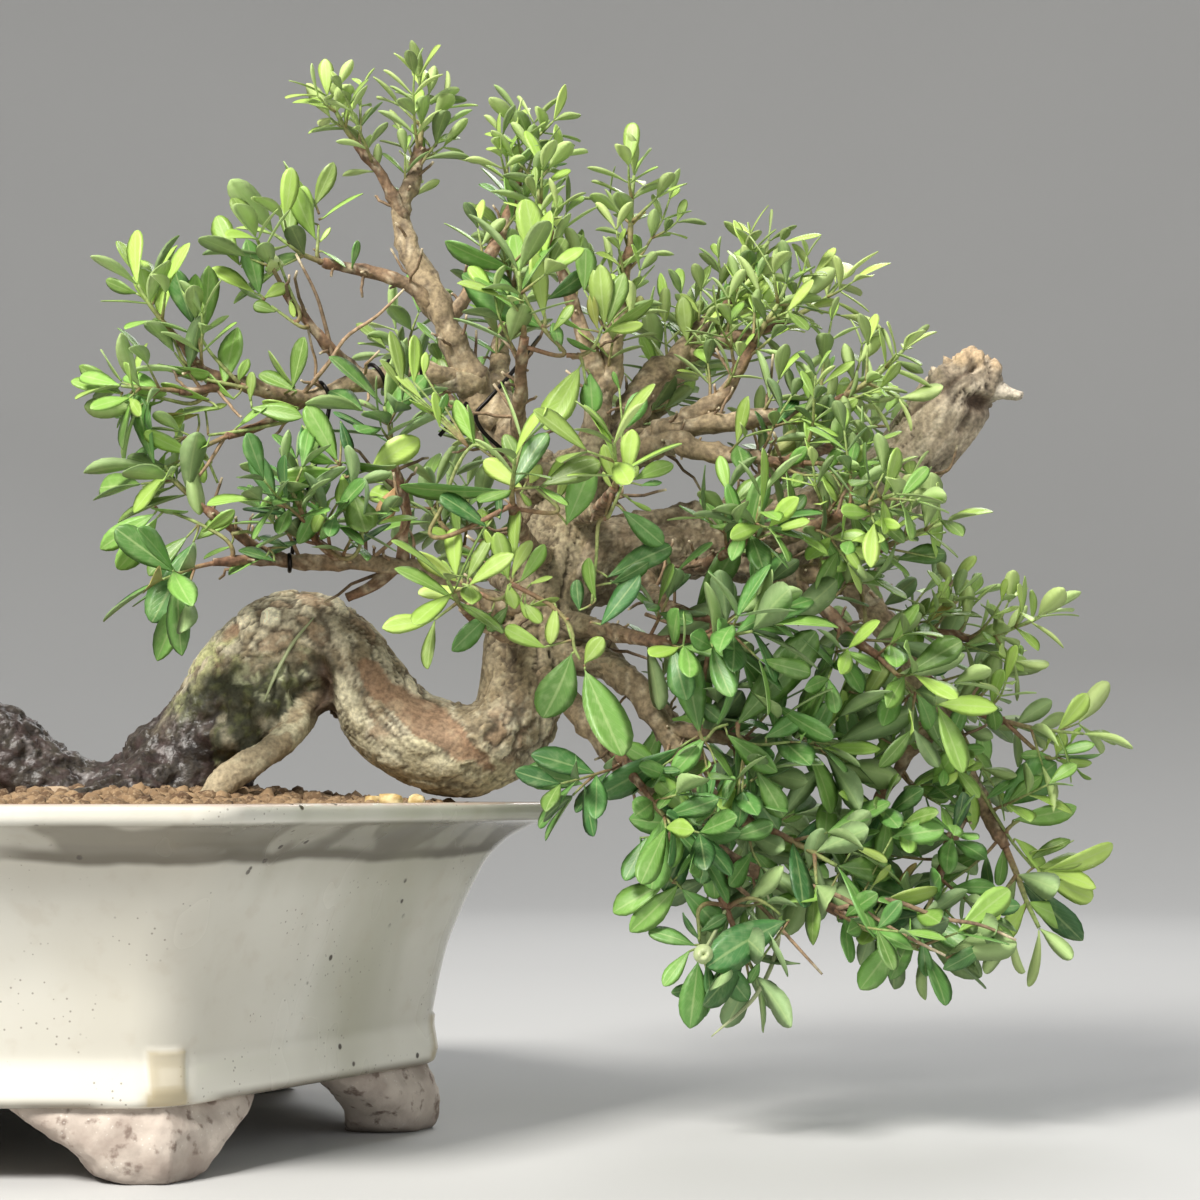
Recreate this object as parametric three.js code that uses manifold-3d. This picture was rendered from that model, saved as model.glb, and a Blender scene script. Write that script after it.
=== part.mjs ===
// An old Syzygium buxifolium bonsai with a snaking trunk, in the six-sided glazed pot that it grows in.
// Millimetres, +Z up. The tree leans out to +X, and is seen in the photograph along +Y.

import * as THREE from 'three';
import { mergeVertices } from 'three/addons/utils/BufferGeometryUtils.js';
import Module from 'manifold-3d';

const wasm = await Module();
wasm.setup();

// Driving dimensions of the pot
const RIM_REACH = 170.5; // from the pot's middle out to a corner of the rim
const RIM_TOP = 104.7;
const BASE_Z = 20.7; // underside of the pot's floor, held up by the feet
const FLOOR_Z = 30;
const CORNERS = 6;
const SIXTH_TURN = Math.PI / 3;
const DRAIN_HOLE_RADIUS = 14;

// Driving dimensions of the feet
const FOOT_REACH = 133; // corner of the foot's outer face, from the pot's middle
const FOOT_DEPTH = 19;
const FOOT_TOP_HALF = 40; // how far a foot runs along each panel, where it meets the pot
const FOOT_SOLE_HALF = 13;

// Driving dimensions of the soil and the leaves
const CLEARANCE = 0.3; // gap that is left between pieces that touch
const ROOT_CLEARANCE = 0.4;
const SOIL_LEVEL = 102.5;
const SOIL_MOUND = 7;
const BLADE_THICKNESS = 0.7;
const WIRE_THICKNESS = 1.4;

// The front view is drawn on the pot's middle plane, as seen by someone who stands this far in front
const VIEW_X = 185;
const VIEW_DISTANCE = 785;
const VIEW_Z = 107.8;

// A point that looks to be at x, z on the middle plane, carried along the line of sight to its own depth y
function seen(x, y, z) {
  const share = (VIEW_DISTANCE + y) / VIEW_DISTANCE;
  return new THREE.Vector3(VIEW_X + (x - VIEW_X) * share, y, VIEW_Z + (z - VIEW_Z) * share);
}

// Repeatable random numbers between 0 and 1
function randomFrom(seed) {
  let state = (seed * 7919 + 12345) % 2147483647;
  return () => {
    state = (state * 16807) % 2147483647;
    return state / 2147483647;
  };
}

function solidOf(geometry) {
  geometry.deleteAttribute('normal');
  geometry.deleteAttribute('uv');
  const merged = mergeVertices(geometry, 1e-4);
  return new wasm.Manifold(
    new wasm.Mesh({
      numProp: 3,
      vertProperties: new Float32Array(merged.attributes.position.array),
      triVerts: new Uint32Array(merged.index.array),
    })
  );
}

function geometryOf(solid) {
  const mesh = solid.getMesh();
  const geometry = new THREE.BufferGeometry();
  geometry.setAttribute('position', new THREE.BufferAttribute(mesh.vertProperties, 3));
  geometry.setIndex(new THREE.BufferAttribute(mesh.triVerts, 1));
  geometry.computeVertexNormals();
  return geometry;
}

// Skin over a row of rings with equal numbers of points, closed by a flat cap at each end.
// Seen from the last ring, the points of a ring run anticlockwise.
function loft(rings) {
  const count = rings[0].length;
  const positions = rings.flat().flatMap((point) => point.toArray());
  const index = [];
  for (let row = 0; row < rings.length - 1; row += 1) {
    for (let k = 0; k < count; k += 1) {
      const a = row * count + k;
      const b = row * count + ((k + 1) % count);
      index.push(a, b, b + count, a, b + count, a + count);
    }
  }
  const last = (rings.length - 1) * count;
  for (let k = 1; k < count - 1; k += 1) {
    index.push(0, k + 1, k, last, last + k, last + k + 1);
  }
  const geometry = new THREE.BufferGeometry();
  geometry.setAttribute('position', new THREE.Float32BufferAttribute(positions, 3));
  geometry.setIndex(index);
  return geometry;
}

// Joins a list of solids, and drops any scrap that hangs loose from the biggest body
function join(solids) {
  const whole = wasm.Manifold.union(solids).simplify(0.02);
  const bodies = whole.decompose();
  bodies.sort((a, b) => b.volume() - a.volume());
  return bodies[0];
}

// Pot

// One level of the pot: a hexagon whose rounded corners reach out to reach
function hexagonRing(reach, z, rounding, pointsPerCorner = 3) {
  const centreDistance = reach - rounding;
  const ring = [];
  for (let corner = 0; corner < CORNERS; corner += 1) {
    const middle = corner * SIXTH_TURN;
    for (let k = 0; k < pointsPerCorner; k += 1) {
      const angle = middle + (k / (pointsPerCorner - 1) - 0.5) * SIXTH_TURN;
      const x = centreDistance * Math.cos(middle) + rounding * Math.cos(angle);
      const y = centreDistance * Math.sin(middle) + rounding * Math.sin(angle);
      ring.push(new THREE.Vector3(x, y, z));
    }
  }
  return ring;
}

// Reach to a corner, height and corner rounding, from the base up the flared wall and over the lip
const OUTER_PROFILE = [
  [131.5, BASE_Z, 18],
  [130.2, 27.5, 20],
  [131.7, 40.5, 22],
  [135, 57, 23],
  [140, 70, 23],
  [146, 82.5, 22],
  [154, 93, 20],
  [165, 99, 17],
  [RIM_REACH, 101.2, 15],
  [169.6, RIM_TOP, 14],
];

// The same for the hollow, from its floor up
const INNER_PROFILE = [
  [119, FLOOR_Z, 14],
  [126.5, 57, 16],
  [137, 82.5, 15],
  [145, 91, 14],
  [158.5, 98, 12],
  [161.5, RIM_TOP + 1, 12],
];

// Half the foot's run along the panels and how far its face stands out, from the sole up.
// The steps in and out are the curls of a cloud foot.
const FOOT_PROFILE = [
  [FOOT_SOLE_HALF, 0, -2],
  [FOOT_SOLE_HALF + 6, 2.5, 0],
  [FOOT_SOLE_HALF + 8, 6, 1],
  [FOOT_SOLE_HALF + 16, 10, 1],
  [FOOT_SOLE_HALF + 23, 15.5, 0],
  [FOOT_TOP_HALF, BASE_Z + 1.5, -3],
];

// One level of a foot, a strip bent round a corner of the pot; the tips are drawn in to a rounded end
const FOOT_BEND_HALF = 5; // the strip's outer face is blunt by this much on each side of the corner
const FOOT_SHOULDER = 0.86; // share of the run at which the tip starts to draw in
const FOOT_TIP_DEPTH = 0.35; // share of the depth at which the tip reaches furthest
const FOOT_BACK = 0.8; // share of the shoulder's run at the back
function footRing(half, z, standOut) {
  const reach = FOOT_REACH + standOut;
  const along = (side, run, inset) => {
    const turn = side * SIXTH_TURN * 2;
    const x = reach - inset / Math.cos(SIXTH_TURN / 2) + run * Math.cos(turn);
    return new THREE.Vector3(x, run * Math.sin(turn), z);
  };
  const shoulder = half * FOOT_SHOULDER;
  return [
    along(-1, shoulder, 0),
    along(-1, FOOT_BEND_HALF, 0),
    along(1, FOOT_BEND_HALF, 0),
    along(1, shoulder, 0),
    along(1, half, FOOT_DEPTH * FOOT_TIP_DEPTH),
    along(1, shoulder * FOOT_BACK, FOOT_DEPTH),
    along(-1, shoulder * FOOT_BACK, FOOT_DEPTH),
    along(-1, half, FOOT_DEPTH * FOOT_TIP_DEPTH),
  ];
}

function makePot() {
  const outside = solidOf(loft(OUTER_PROFILE.map(([reach, z, round]) => hexagonRing(reach, z, round))));
  const hollow = solidOf(loft(INNER_PROFILE.map(([reach, z, round]) => hexagonRing(reach, z, round))));
  const hole = new THREE.CylinderGeometry(DRAIN_HOLE_RADIUS, DRAIN_HOLE_RADIUS, 20, 16);
  hole.rotateX(Math.PI / 2);
  hole.translate(0, 0, (BASE_Z + FLOOR_Z) / 2);
  const parts = [outside.subtract(hollow).subtract(solidOf(hole))];
  for (let corner = 0; corner < CORNERS; corner += 1) {
    const foot = loft(FOOT_PROFILE.map(([half, z, standOut]) => footRing(half, z, standOut)));
    foot.rotateZ(corner * SIXTH_TURN);
    parts.push(solidOf(foot));
  }
  return join(parts);
}

// Square net over the drain hole, one sheet with four openings
const NET_WIDTH = 42;
const NET_THICKNESS = 1.2;
const NET_PITCH = 12;
const NET_OPENING = 8.4;
function makeDrainNet() {
  let net = solidOf(new THREE.BoxGeometry(NET_WIDTH, NET_WIDTH, NET_THICKNESS));
  for (const x of [-NET_PITCH / 2, NET_PITCH / 2]) {
    for (const y of [-NET_PITCH / 2, NET_PITCH / 2]) {
      const opening = new THREE.BoxGeometry(NET_OPENING, NET_OPENING, 2 * NET_THICKNESS);
      opening.translate(x, y, 0);
      net = net.subtract(solidOf(opening));
    }
  }
  return net.translate(0, 0, FLOOR_Z + CLEARANCE + NET_THICKNESS / 2);
}

// Wood

// A limb of wood: rings of points square to a smooth curve, each with its own radius.
// swell adds lengthwise ribs and knobs, as a share of the radius.
function limb(points, radii, sides, swell = 0, extraRadius = 0) {
  const curve = new THREE.CatmullRomCurve3(points, false, 'centripetal');
  const steps = points.length - 1;
  let across = new THREE.Vector3(0, 1, 0);
  const rings = [];
  for (let step = 0; step <= steps; step += 1) {
    const t = step / steps;
    const centre = curve.getPoint(t);
    const tangent = curve.getTangent(t);
    const isEnd = step === 0 ? -1 : step === steps ? 1 : 0;
    centre.addScaledVector(tangent, isEnd * extraRadius);
    across = across.clone().addScaledVector(tangent, -across.dot(tangent)).normalize();
    const other = tangent.clone().cross(across);
    const radius = radii[step] + extraRadius;
    const ring = [];
    for (let side = 0; side < sides; side += 1) {
      const angle = (side / sides) * Math.PI * 2;
      const ribs = 0.6 * Math.sin(3 * angle + step * 0.9) + 0.4 * Math.sin(2 * angle - step * 1.7);
      const rib = 1 + swell * ribs;
      const offset = across.clone().multiplyScalar(Math.cos(angle));
      offset.addScaledVector(other, Math.sin(angle));
      ring.push(centre.clone().addScaledVector(offset, radius * rib));
    }
    rings.push(ring);
  }
  return loft(rings);
}

// The trunk's own line: out of the soil at the left, over the arch, down to the rim and up into the crown.
// Each row is x, depth, z and radius.
const TRUNK_LINE = [
  [36, 2, 88, 25],
  [49, 1, 110, 20.5],
  [60, 0, 130, 17.5],
  [70, -1, 147, 17.5],
  [83, -1, 157.5, 16.5],
  [95, -2, 154.5, 15.5],
  [105.5, -3, 144, 14.5],
  [116, -4, 131.5, 14.8],
  [129, -5, 123.5, 14.8],
  [143, -4, 121.8, 14.6],
  [154.5, -2, 128.5, 14.2],
  [159.5, 0, 141, 13.8],
  [161.5, 2, 155, 13.5],
  [166, 4, 170, 13],
  [171, 6, 186, 12],
  [175, 8, 203, 10.5],
  [178, 8, 219, 7],
];

// Roots and the trunk's low swellings, written the same way
const ROOT_LINES = [
  [
    [48, 2, 116, 18],
    [36, 3, 108, 15],
    [22, 3, 104, 13],
    [8, 2, 107, 13.2],
    [-10, 2, 120.5, 13.5],
    [-28, 4, 125, 14],
    [-46, 6, 112, 12],
    [-60, 8, 94, 9],
  ],
  [
    [92, -8, 136, 5.5],
    [86, -17, 129, 5],
    [79, -25, 122, 4.6],
    [70, -30, 116.5, 4.8],
    [62, -33, 111, 5],
    [54, -36, 97, 5],
  ],
  [
    [44, -6, 112, 13],
    [30, -22, 106, 9],
    [14, -38, 101, 6.5],
    [0, -48, 92, 5],
  ],
  [
    [50, 8, 116, 14],
    [58, 26, 108, 9.5],
    [70, 44, 101, 7],
    [80, 56, 92, 5],
  ],
  [
    [-28, 6, 122, 9],
    [-40, 22, 108, 7],
    [-52, 36, 96, 5],
  ],
  [
    [-30, 0, 120, 8],
    [-46, -14, 107, 6.5],
    [-60, -26, 95, 5],
  ],
  [
    [75, -5, 146, 15],
    [73, -10, 134, 13],
    [66, -10, 121, 10],
  ],
];

// Limbs of the crown: first radius, last radius, then points of x, depth and z
const LIMBS = {
  apex: [7, 1.7, [168, 7, 208], [157, 3, 222], [146, -1, 238], [137, -4, 255], [127, -4, 278],
    [119, 0, 300], [123, 2, 312], [125, 3, 322]],
  apex_left: [2.4, 1.4, [120, -1, 298], [112, -5, 312], [104, -8, 323]],
  apex_right: [2.6, 1.3, [134, -4, 262], [146, -2, 282], [154, 0, 298], [158, 2, 310]],
  upper_left: [2.8, 1.4, [131, -4, 265], [120, -8, 276], [106, -12, 280], [93, -16, 283]],
  mid_left: [3.8, 1.4, [146, -1, 241], [125, -8, 246], [104, -17, 243], [88, -22, 238], [66, -30, 243],
    [54, -34, 247], [45, -37, 258]],
  mid_left_tip: [1.8, 1.2, [64, -31, 243], [54, -36, 240], [46, -40, 240]],
  mid_left_rise: [2.2, 1.2, [107, -16, 244], [94, -24, 256], [84, -28, 268], [79, -30, 276]],
  mid_left_low: [2, 1.2, [88, -22, 237], [74, -28, 229], [62, -33, 225]],
  arch: [4.2, 1.3, [163, 0, 166], [150, -8, 170], [136, -14, 175], [120, -20, 182], [100, -26, 184],
    [80, -30, 184], [66, -36, 193], [55, -39, 201]],
  arch_low: [2, 1.2, [80, -30, 184], [68, -40, 184], [58, -46, 183]],
  arch_inner: [1.8, 1.2, [100, -26, 184], [92, -36, 190], [88, -44, 196]],
  arch_stub: [2.2, 1.6, [118, -20, 182], [110, -23, 175], [102, -25, 171.5]],
  arch_rise: [2, 1.2, [120, -20, 182], [121, -26, 200], [117, -32, 216]],
  front_low: [3, 1.4, [160, -2, 158], [148, -32, 162], [140, -52, 168]],
  front_mid: [3.2, 1.4, [166, -6, 184], [160, -32, 192], [156, -54, 202]],
  front_high: [3.2, 1.4, [178, -2, 200], [184, -30, 200], [190, -54, 208]],
  front_top: [3.4, 1.4, [160, -2, 216], [158, -28, 236], [160, -44, 258]],
  upright: [5.2, 1.6, [180, 6, 212], [186, 3, 238], [191, 0, 262], [195, -2, 288]],
  upright_left: [3, 1.4, [187, 3, 240], [178, -2, 262], [172, -5, 280], [168, -6, 294]],
  right_rise: [7.5, 1.7, [178, 8, 210], [190, 10, 224], [201, 12, 241], [214, 16, 255], [228, 18, 270]],
  right_rise_out: [3, 1.4, [212, 15, 252], [230, 16, 258], [248, 16, 264]],
  right_mid: [5, 1.6, [188, 10, 216], [205, 4, 226], [224, 0, 238], [236, -4, 256]],
  right_long: [4, 1.5, [203, 4, 226], [226, -4, 230], [250, -8, 232], [266, -12, 238]],
  right_low: [4.6, 1.4, [186, 6, 213], [208, -6, 222], [232, -14, 218], [252, -20, 216]],
  stub_front: [3.4, 1.4, [232, 6, 188], [252, -22, 194], [268, -42, 200]],
  low_front: [3.4, 1.2, [168, -4, 164], [186, -16, 161], [202, -30, 158], [216, -40, 158]],
  low_mid: [3, 1.2, [197, 5, 180], [208, -20, 168], [222, -34, 164]],
  cascade_a: [5, 1.8, [168, 0, 153], [190, -8, 148], [205, -14, 130], [214, -18, 114], [226, -22, 102],
    [240, -24, 96]],
  cascade_a_fork: [3, 1.4, [206, -14, 128], [222, -18, 126], [240, -20, 124]],
  cascade_b: [4.6, 1.6, [162, -6, 148], [175, -14, 138], [195, -22, 115], [210, -26, 99], [222, -30, 84],
    [226, -34, 70]],
  cascade_in: [2.4, 1.3, [184, -17, 128], [193, -30, 118], [199, -38, 109]],
  cascade_b_out: [2.4, 1.3, [214, -28, 94], [236, -26, 82], [256, -24, 72], [272, -24, 64]],
  heavy_front: [2.6, 1.3, [214, 6, 180], [222, -20, 184], [232, -38, 190]],
  shoot: [4, 1.5, [232, 8, 184], [246, -4, 178], [262, -12, 181], [278, -18, 188]],
  shoot_low: [2.6, 1.3, [248, -5, 178], [262, -14, 164], [276, -20, 152]],
  right_down: [5.5, 1.8, [256, 20, 192], [272, 22, 172], [286, 20, 150], [299, 16, 126], [309, 12, 106],
    [317, 8, 90]],
  right_down_high: [2.8, 1.3, [276, 22, 166], [292, 16, 160], [306, 12, 158]],
  right_down_mid: [2.8, 1.3, [292, 18, 140], [305, 14, 135], [317, 10, 131]],
  right_down_in: [2.8, 1.3, [296, 17, 132], [282, 10, 114], [273, 4, 100]],
  right_down_low: [2.4, 1.3, [308, 14, 110], [299, 6, 92], [295, -2, 80]],
  back_low: [4.2, 1.5, [163, 8, 164], [158, 34, 172], [146, 58, 182], [136, 72, 192]],
  back_left: [4.6, 1.5, [168, 10, 192], [158, 34, 210], [144, 54, 228], [130, 66, 242]],
  back_top: [4, 1.5, [152, 4, 232], [152, 26, 254], [156, 42, 274]],
  back_mid: [5, 1.6, [178, 12, 206], [192, 36, 222], [208, 56, 238], [220, 68, 254]],
  back_right: [5, 1.6, [220, 20, 192], [232, 42, 204], [246, 60, 214], [262, 70, 222]],
  back_far: [4.4, 1.5, [258, 22, 190], [268, 42, 174], [280, 58, 160], [290, 68, 148]],
  back_cascade: [4.4, 1.5, [171, 8, 169], [194, 34, 146], [212, 50, 126], [228, 58, 106]],
};

// The heavy dead limb, and the pale spurs that were left when it broke
const DEAD_LIMB_LINE = [
  [170, 6, 172, 11],
  [183, 8, 182, 12],
  [197, 10, 187, 12.5],
  [215, 14, 190, 12],
  [240, 18, 190, 13],
  [258, 19, 196, 12.5],
  [275, 17, 206, 12],
  [288, 15, 219, 12],
  [298, 13, 232, 12.5],
  [306, 12, 242, 11],
  [312, 12, 251, 7],
];
const DEAD_SPURS = [
  [4.5, 2, [308, 10, 238], [318, 9, 240], [325, 8, 238]],
  [4, 1.6, [286, 10, 206], [291, 0, 200], [295, -6, 197]],
];

const TRUNK_SIDES = 10;
const ROOT_SIDES = 6;
const DEAD_LIMB_SIDES = 8;
const TRUNK_SWELL = 0.07;
const ROOT_SWELL = 0.08;
const DEAD_LIMB_SWELL = 0.1;
const STOUT = 5; // limbs with a first radius above this have six sides
const SLIM = 4; // and those at or below this have four

// Trunk, roots, dead limb and living limbs, grown as one. With an extra radius it is the trunk and the
// roots alone, for the hole that they stand in.
function makeWood(extraRadius = 0) {
  const line = (rows) => rows.map(([x, y, z]) => seen(x, y, z));
  const radii = (rows) => rows.map((row) => row[3]);
  const pieces = [limb(line(TRUNK_LINE), radii(TRUNK_LINE), TRUNK_SIDES, TRUNK_SWELL, extraRadius)];
  for (const rows of ROOT_LINES) {
    pieces.push(limb(line(rows), radii(rows), ROOT_SIDES, ROOT_SWELL, extraRadius));
  }
  if (extraRadius > 0) {
    return wasm.Manifold.union(pieces.map(solidOf));
  }
  pieces.push(limb(line(DEAD_LIMB_LINE), radii(DEAD_LIMB_LINE), DEAD_LIMB_SIDES, DEAD_LIMB_SWELL));
  for (const [first, last, ...points] of [...Object.values(LIMBS), ...DEAD_SPURS]) {
    const taper = points.map((_, k) => THREE.MathUtils.lerp(first, last, k / (points.length - 1)));
    const sides = first > STOUT ? 6 : first > SLIM ? 5 : 4;
    pieces.push(limb(line(points), taper, sides));
  }
  return join(pieces.map(solidOf));
}

// Soil

// One level of the soil: a hexagon with blunt corners, its points spread evenly round it
const SOIL_POINTS = 30;
const SOIL_CORNER = 0.97; // share of the reach that is left at a blunt corner
function soilRing(reach, z, random, stray) {
  const apothem = reach * Math.cos(SIXTH_TURN / 2);
  const ring = [];
  for (let k = 0; k < SOIL_POINTS; k += 1) {
    const angle = (k / SOIL_POINTS) * Math.PI * 2;
    const fromPanel = (angle % SIXTH_TURN) - SIXTH_TURN / 2;
    const distance = Math.min(apothem / Math.cos(fromPanel), reach * SOIL_CORNER);
    const x = distance * Math.cos(angle) + (random() - 0.5) * stray;
    const y = distance * Math.sin(angle) + (random() - 0.5) * stray;
    ring.push(new THREE.Vector3(x, y, z));
  }
  return ring;
}

// Stones and a chip of bark that lie on the soil: name, x, depth, z, then half their length, width and height
const STONES = [
  ['stone_a', 117, -50, 104.8, 4.6, 3.6, 3.2],
  ['stone_b', 125, -46, 105, 3.4, 3, 2.6],
  ['stone_c', 111, -44, 104.8, 3, 2.8, 2.4],
  ['bark_chip', 8, -26, 107.5, 5.5, 2.4, 3],
];
function stone([, x, y, z, ...halves], extra = 0) {
  const shape = new THREE.IcosahedronGeometry(1, 0);
  shape.rotateZ(x);
  shape.scale(...halves.map((half) => half + extra));
  shape.translate(...seen(x, y, z).toArray());
  return solidOf(shape);
}

// The soil fills the pot to just under the rim. Its top is a low mound round the foot of the trunk, with a
// random step from grain to grain; the roots stand in plain holes, and the stones lie in hollows.
const SOIL_RINGS = 7;
const SOIL_REACH = 156.5;
const SOIL_WALL_GAP = 1.5; // shrinkage of the soil from the corners of the wall
const SOIL_STRAY = 6; // how far a point of the top strays sideways
const MOUND_X = 40;
const MOUND_SPREAD = 65;
const GRAIN_RELIEF = 3;
function makeSoil() {
  const random = randomFrom(5);
  const rings = [];
  for (const [reach, z] of INNER_PROFILE.slice(0, -1)) {
    const level = z === FLOOR_Z ? z + NET_THICKNESS + 2 * CLEARANCE : z;
    rings.push(soilRing(reach - SOIL_WALL_GAP, level, random, 0));
  }
  for (let ring = 0; ring < SOIL_RINGS; ring += 1) {
    const level = soilRing(SOIL_REACH * (1 - ring / SOIL_RINGS), 0, random, ring > 0 ? SOIL_STRAY : 0);
    for (const point of level) {
      const fromFoot = ((point.x - MOUND_X) ** 2 + point.y ** 2) / MOUND_SPREAD ** 2;
      const mound = SOIL_MOUND * Math.exp(-fromFoot);
      point.z = SOIL_LEVEL + mound * Math.min(1, ring / 2) + (random() - 0.5) * (ring > 0 ? GRAIN_RELIEF : 1);
    }
    rings.push(level);
  }
  let soil = solidOf(loft(rings)).subtract(makeWood(ROOT_CLEARANCE));
  for (const row of STONES) {
    soil = soil.subtract(stone(row, CLEARANCE));
  }
  return join([soil]);
}

// Leaves

// Leafy shoots. The keys are the limbs that they grow from; each has the shoot's length, the length of
// its leaves, how strongly it turns up (or, below zero, down), and how many side shoots it has.
const SHOOTS = {
  apex: [21, 15, 0.5, 2],
  apex_left: [18, 14, 0.5, 2],
  apex_right: [22, 16, 0.5, 2],
  upper_left: [18, 20, 0.5, 2],
  mid_left: [20, 17, 0.2, 2],
  mid_left_tip: [18, 17, 0, 1],
  mid_left_rise: [16, 19, 0.5, 2],
  mid_left_low: [20, 17, 0, 2],
  arch: [20, 21, -0.1, 1],
  arch_low: [20, 22, -0.2, 2],
  arch_inner: [18, 21, 0.2, 1],
  arch_rise: [18, 20, 0.4, 2],
  front_low: [20, 20, 0.2, 1],
  front_mid: [20, 19, 0.4, 1],
  front_high: [22, 20, 0.4, 2],
  front_top: [22, 20, 0.5, 2],
  upright: [26, 16, 0.5, 2],
  upright_left: [24, 17, 0.5, 1],
  right_rise: [24, 16, 0.4, 2],
  right_rise_out: [22, 15, 0.3, 1],
  right_mid: [22, 16, 0.3, 2],
  right_long: [24, 15, 0.2, 2],
  right_low: [24, 16, 0.1, 1],
  stub_front: [24, 17, 0.2, 1],
  low_front: [22, 24, 0, 1],
  low_mid: [22, 22, 0, 1],
  cascade_a: [24, 23, -0.1, 2],
  cascade_a_fork: [22, 23, 0, 2],
  cascade_b: [22, 22, -0.1, 2],
  cascade_in: [18, 20, 0, 1],
  cascade_b_out: [26, 21, 0.1, 1],
  heavy_front: [18, 18, 0.3, 1],
  shoot: [24, 18, 0.2, 2],
  shoot_low: [24, 22, 0, 1],
  right_down: [28, 19, 0.1, 2],
  right_down_high: [26, 17, 0.3, 2],
  right_down_mid: [26, 18, 0.2, 2],
  right_down_in: [24, 22, 0, 1],
  right_down_low: [24, 21, 0, 1],
  back_low: [26, 20, 0.2, 1],
  back_left: [28, 18, 0.3, 2],
  back_top: [26, 18, 0.4, 1],
  back_mid: [28, 18, 0.3, 2],
  back_right: [28, 19, 0.2, 1],
  back_far: [28, 20, 0, 1],
  back_cascade: [28, 22, -0.1, 2],
};

const UP = new THREE.Vector3(0, 0, 1);
const STEM_NODES = 3;
const NODE_HEIGHT = 0.9; // the short stretch of stem that a pair of leaves grows from
const TIP_NODE_HEIGHT = 1.3;
const WANDER = 0.35; // how far a stem strays from node to node
const MOST_TWIST = 1.1; // radians that a leaf stalk turns at most to bring its blade up to the light
const LIFT_PER_NODE = 0.4; // how much of a shoot's lift acts at each node
const LEAF_SPREAD = 1; // radians between a leaf and its stem
const TIP_LEAF_SPREAD = 0.6;
const SMALLEST_LEAF = 0.8; // leaves are this share of the shoot's leaf length
const LEAF_SIZE_RANGE = 0.4; // or up to this share more
const STEM_GIRTH = 0.72; // half the width of a square stem, as a share of its limb's last radius
const STEM_TAPER = 0.35;
const TWIG_LENGTH = 0.5; // a side shoot's length and leaves, as a share of those of its main stem
const TWIG_LEAF = 0.9;
const TWIG_GIRTH = 0.85;
const TWIG_FOOT = 2; // from here out a side shoot is tried for room

const random3 = (random) => new THREE.Vector3(random() - 0.5, random() - 0.5, random() - 0.5);
const squareTo = (vector, axis) => vector.clone().addScaledVector(axis, -vector.dot(axis)).normalize();

// The direction in which a leaf's upper face looks: up and along the stem, but turned no more than a
// stalk can twist
function leafFace(heading, stemDirection, stray) {
  const natural = squareTo(stemDirection, heading);
  const wish = UP.clone().multiplyScalar(0.9).addScaledVector(stemDirection, 0.5).addScaledVector(stray, 0.9);
  const wanted = squareTo(wish, heading);
  const angle = natural.angleTo(wanted);
  if (angle <= MOST_TWIST) {
    return wanted;
  }
  const hand = Math.sign(natural.clone().cross(wanted).dot(heading)) || 1;
  return natural.applyAxisAngle(heading, hand * MOST_TWIST);
}

// One stem that turns towards the light. Each node has a pair of leaves, a quarter turn on from the pair
// below it, and the two faces between them can bear side shoots.
function growStem(start, heading, side, length, leafLength, lift, nodes, seed) {
  const random = randomFrom(seed);
  const direction = heading.clone();
  const grown = [];
  let at = start.clone();
  let across = squareTo(side, heading);
  for (let node = 1; node <= nodes; node += 1) {
    direction.addScaledVector(UP, lift * LIFT_PER_NODE);
    direction.addScaledVector(random3(random), WANDER).normalize();
    at = at.clone().addScaledVector(direction, length / nodes);
    across = squareTo(across, direction);
    const other = direction.clone().cross(across);
    const [leafSide, budSide] = node % 2 ? [across, other] : [other, across];
    const spread = node === nodes ? TIP_LEAF_SPREAD : LEAF_SPREAD;
    const leaves = [1, -1].map((hand) => {
      const size = leafLength * (SMALLEST_LEAF + LEAF_SIZE_RANGE * random());
      const away = direction.clone().multiplyScalar(Math.cos(spread));
      away.addScaledVector(leafSide, hand * Math.sin(spread)).normalize();
      return { root: at, heading: away, face: leafFace(away, direction, random3(random)), size };
    });
    grown.push({ at, direction: direction.clone(), across, other, leafSide, budSide, leaves });
  }
  return grown;
}

// A leaf is widest about its middle; each row is a share of its length and the width there as a share of it
const LEAF_SHOULDERS = [
  [0.36, 0.37],
  [0.74, 0.34],
];
const LEAF_DROOP = 0.12;
const LEAF_STALK = 0.16; // share of the length that is near its own stem

// Rings of four points up one leaf, from its shoulders to the edge that is its tip
function leafRings({ root, heading, face, size }, thickness = BLADE_THICKNESS, grow = 1) {
  const wide = face.clone().cross(heading);
  const ring = (share, width) => {
    const centre = root.clone().addScaledVector(heading, share * size * grow);
    centre.addScaledVector(face, -LEAF_DROOP * size * share * share);
    return [[-1, -1], [1, -1], [1, 1], [-1, 1]].map(([w, f]) => {
      const corner = centre.clone().addScaledVector(wide, (w * width * size * grow) / 2);
      return corner.addScaledVector(face, (f * thickness) / 2);
    });
  };
  return { ring, shoulders: LEAF_SHOULDERS.map(([share, width]) => ring(share, width)) };
}

// The blade alone, from a share of its length out, to try whether it is clear
function bladeSolid(leaf, thickness, grow, from) {
  const { ring, shoulders } = leafRings(leaf, thickness, grow);
  return solidOf(loft([ring(from, Math.max(from, 0.1)), ...shoulders, ring(1, 0.03)]));
}

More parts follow.
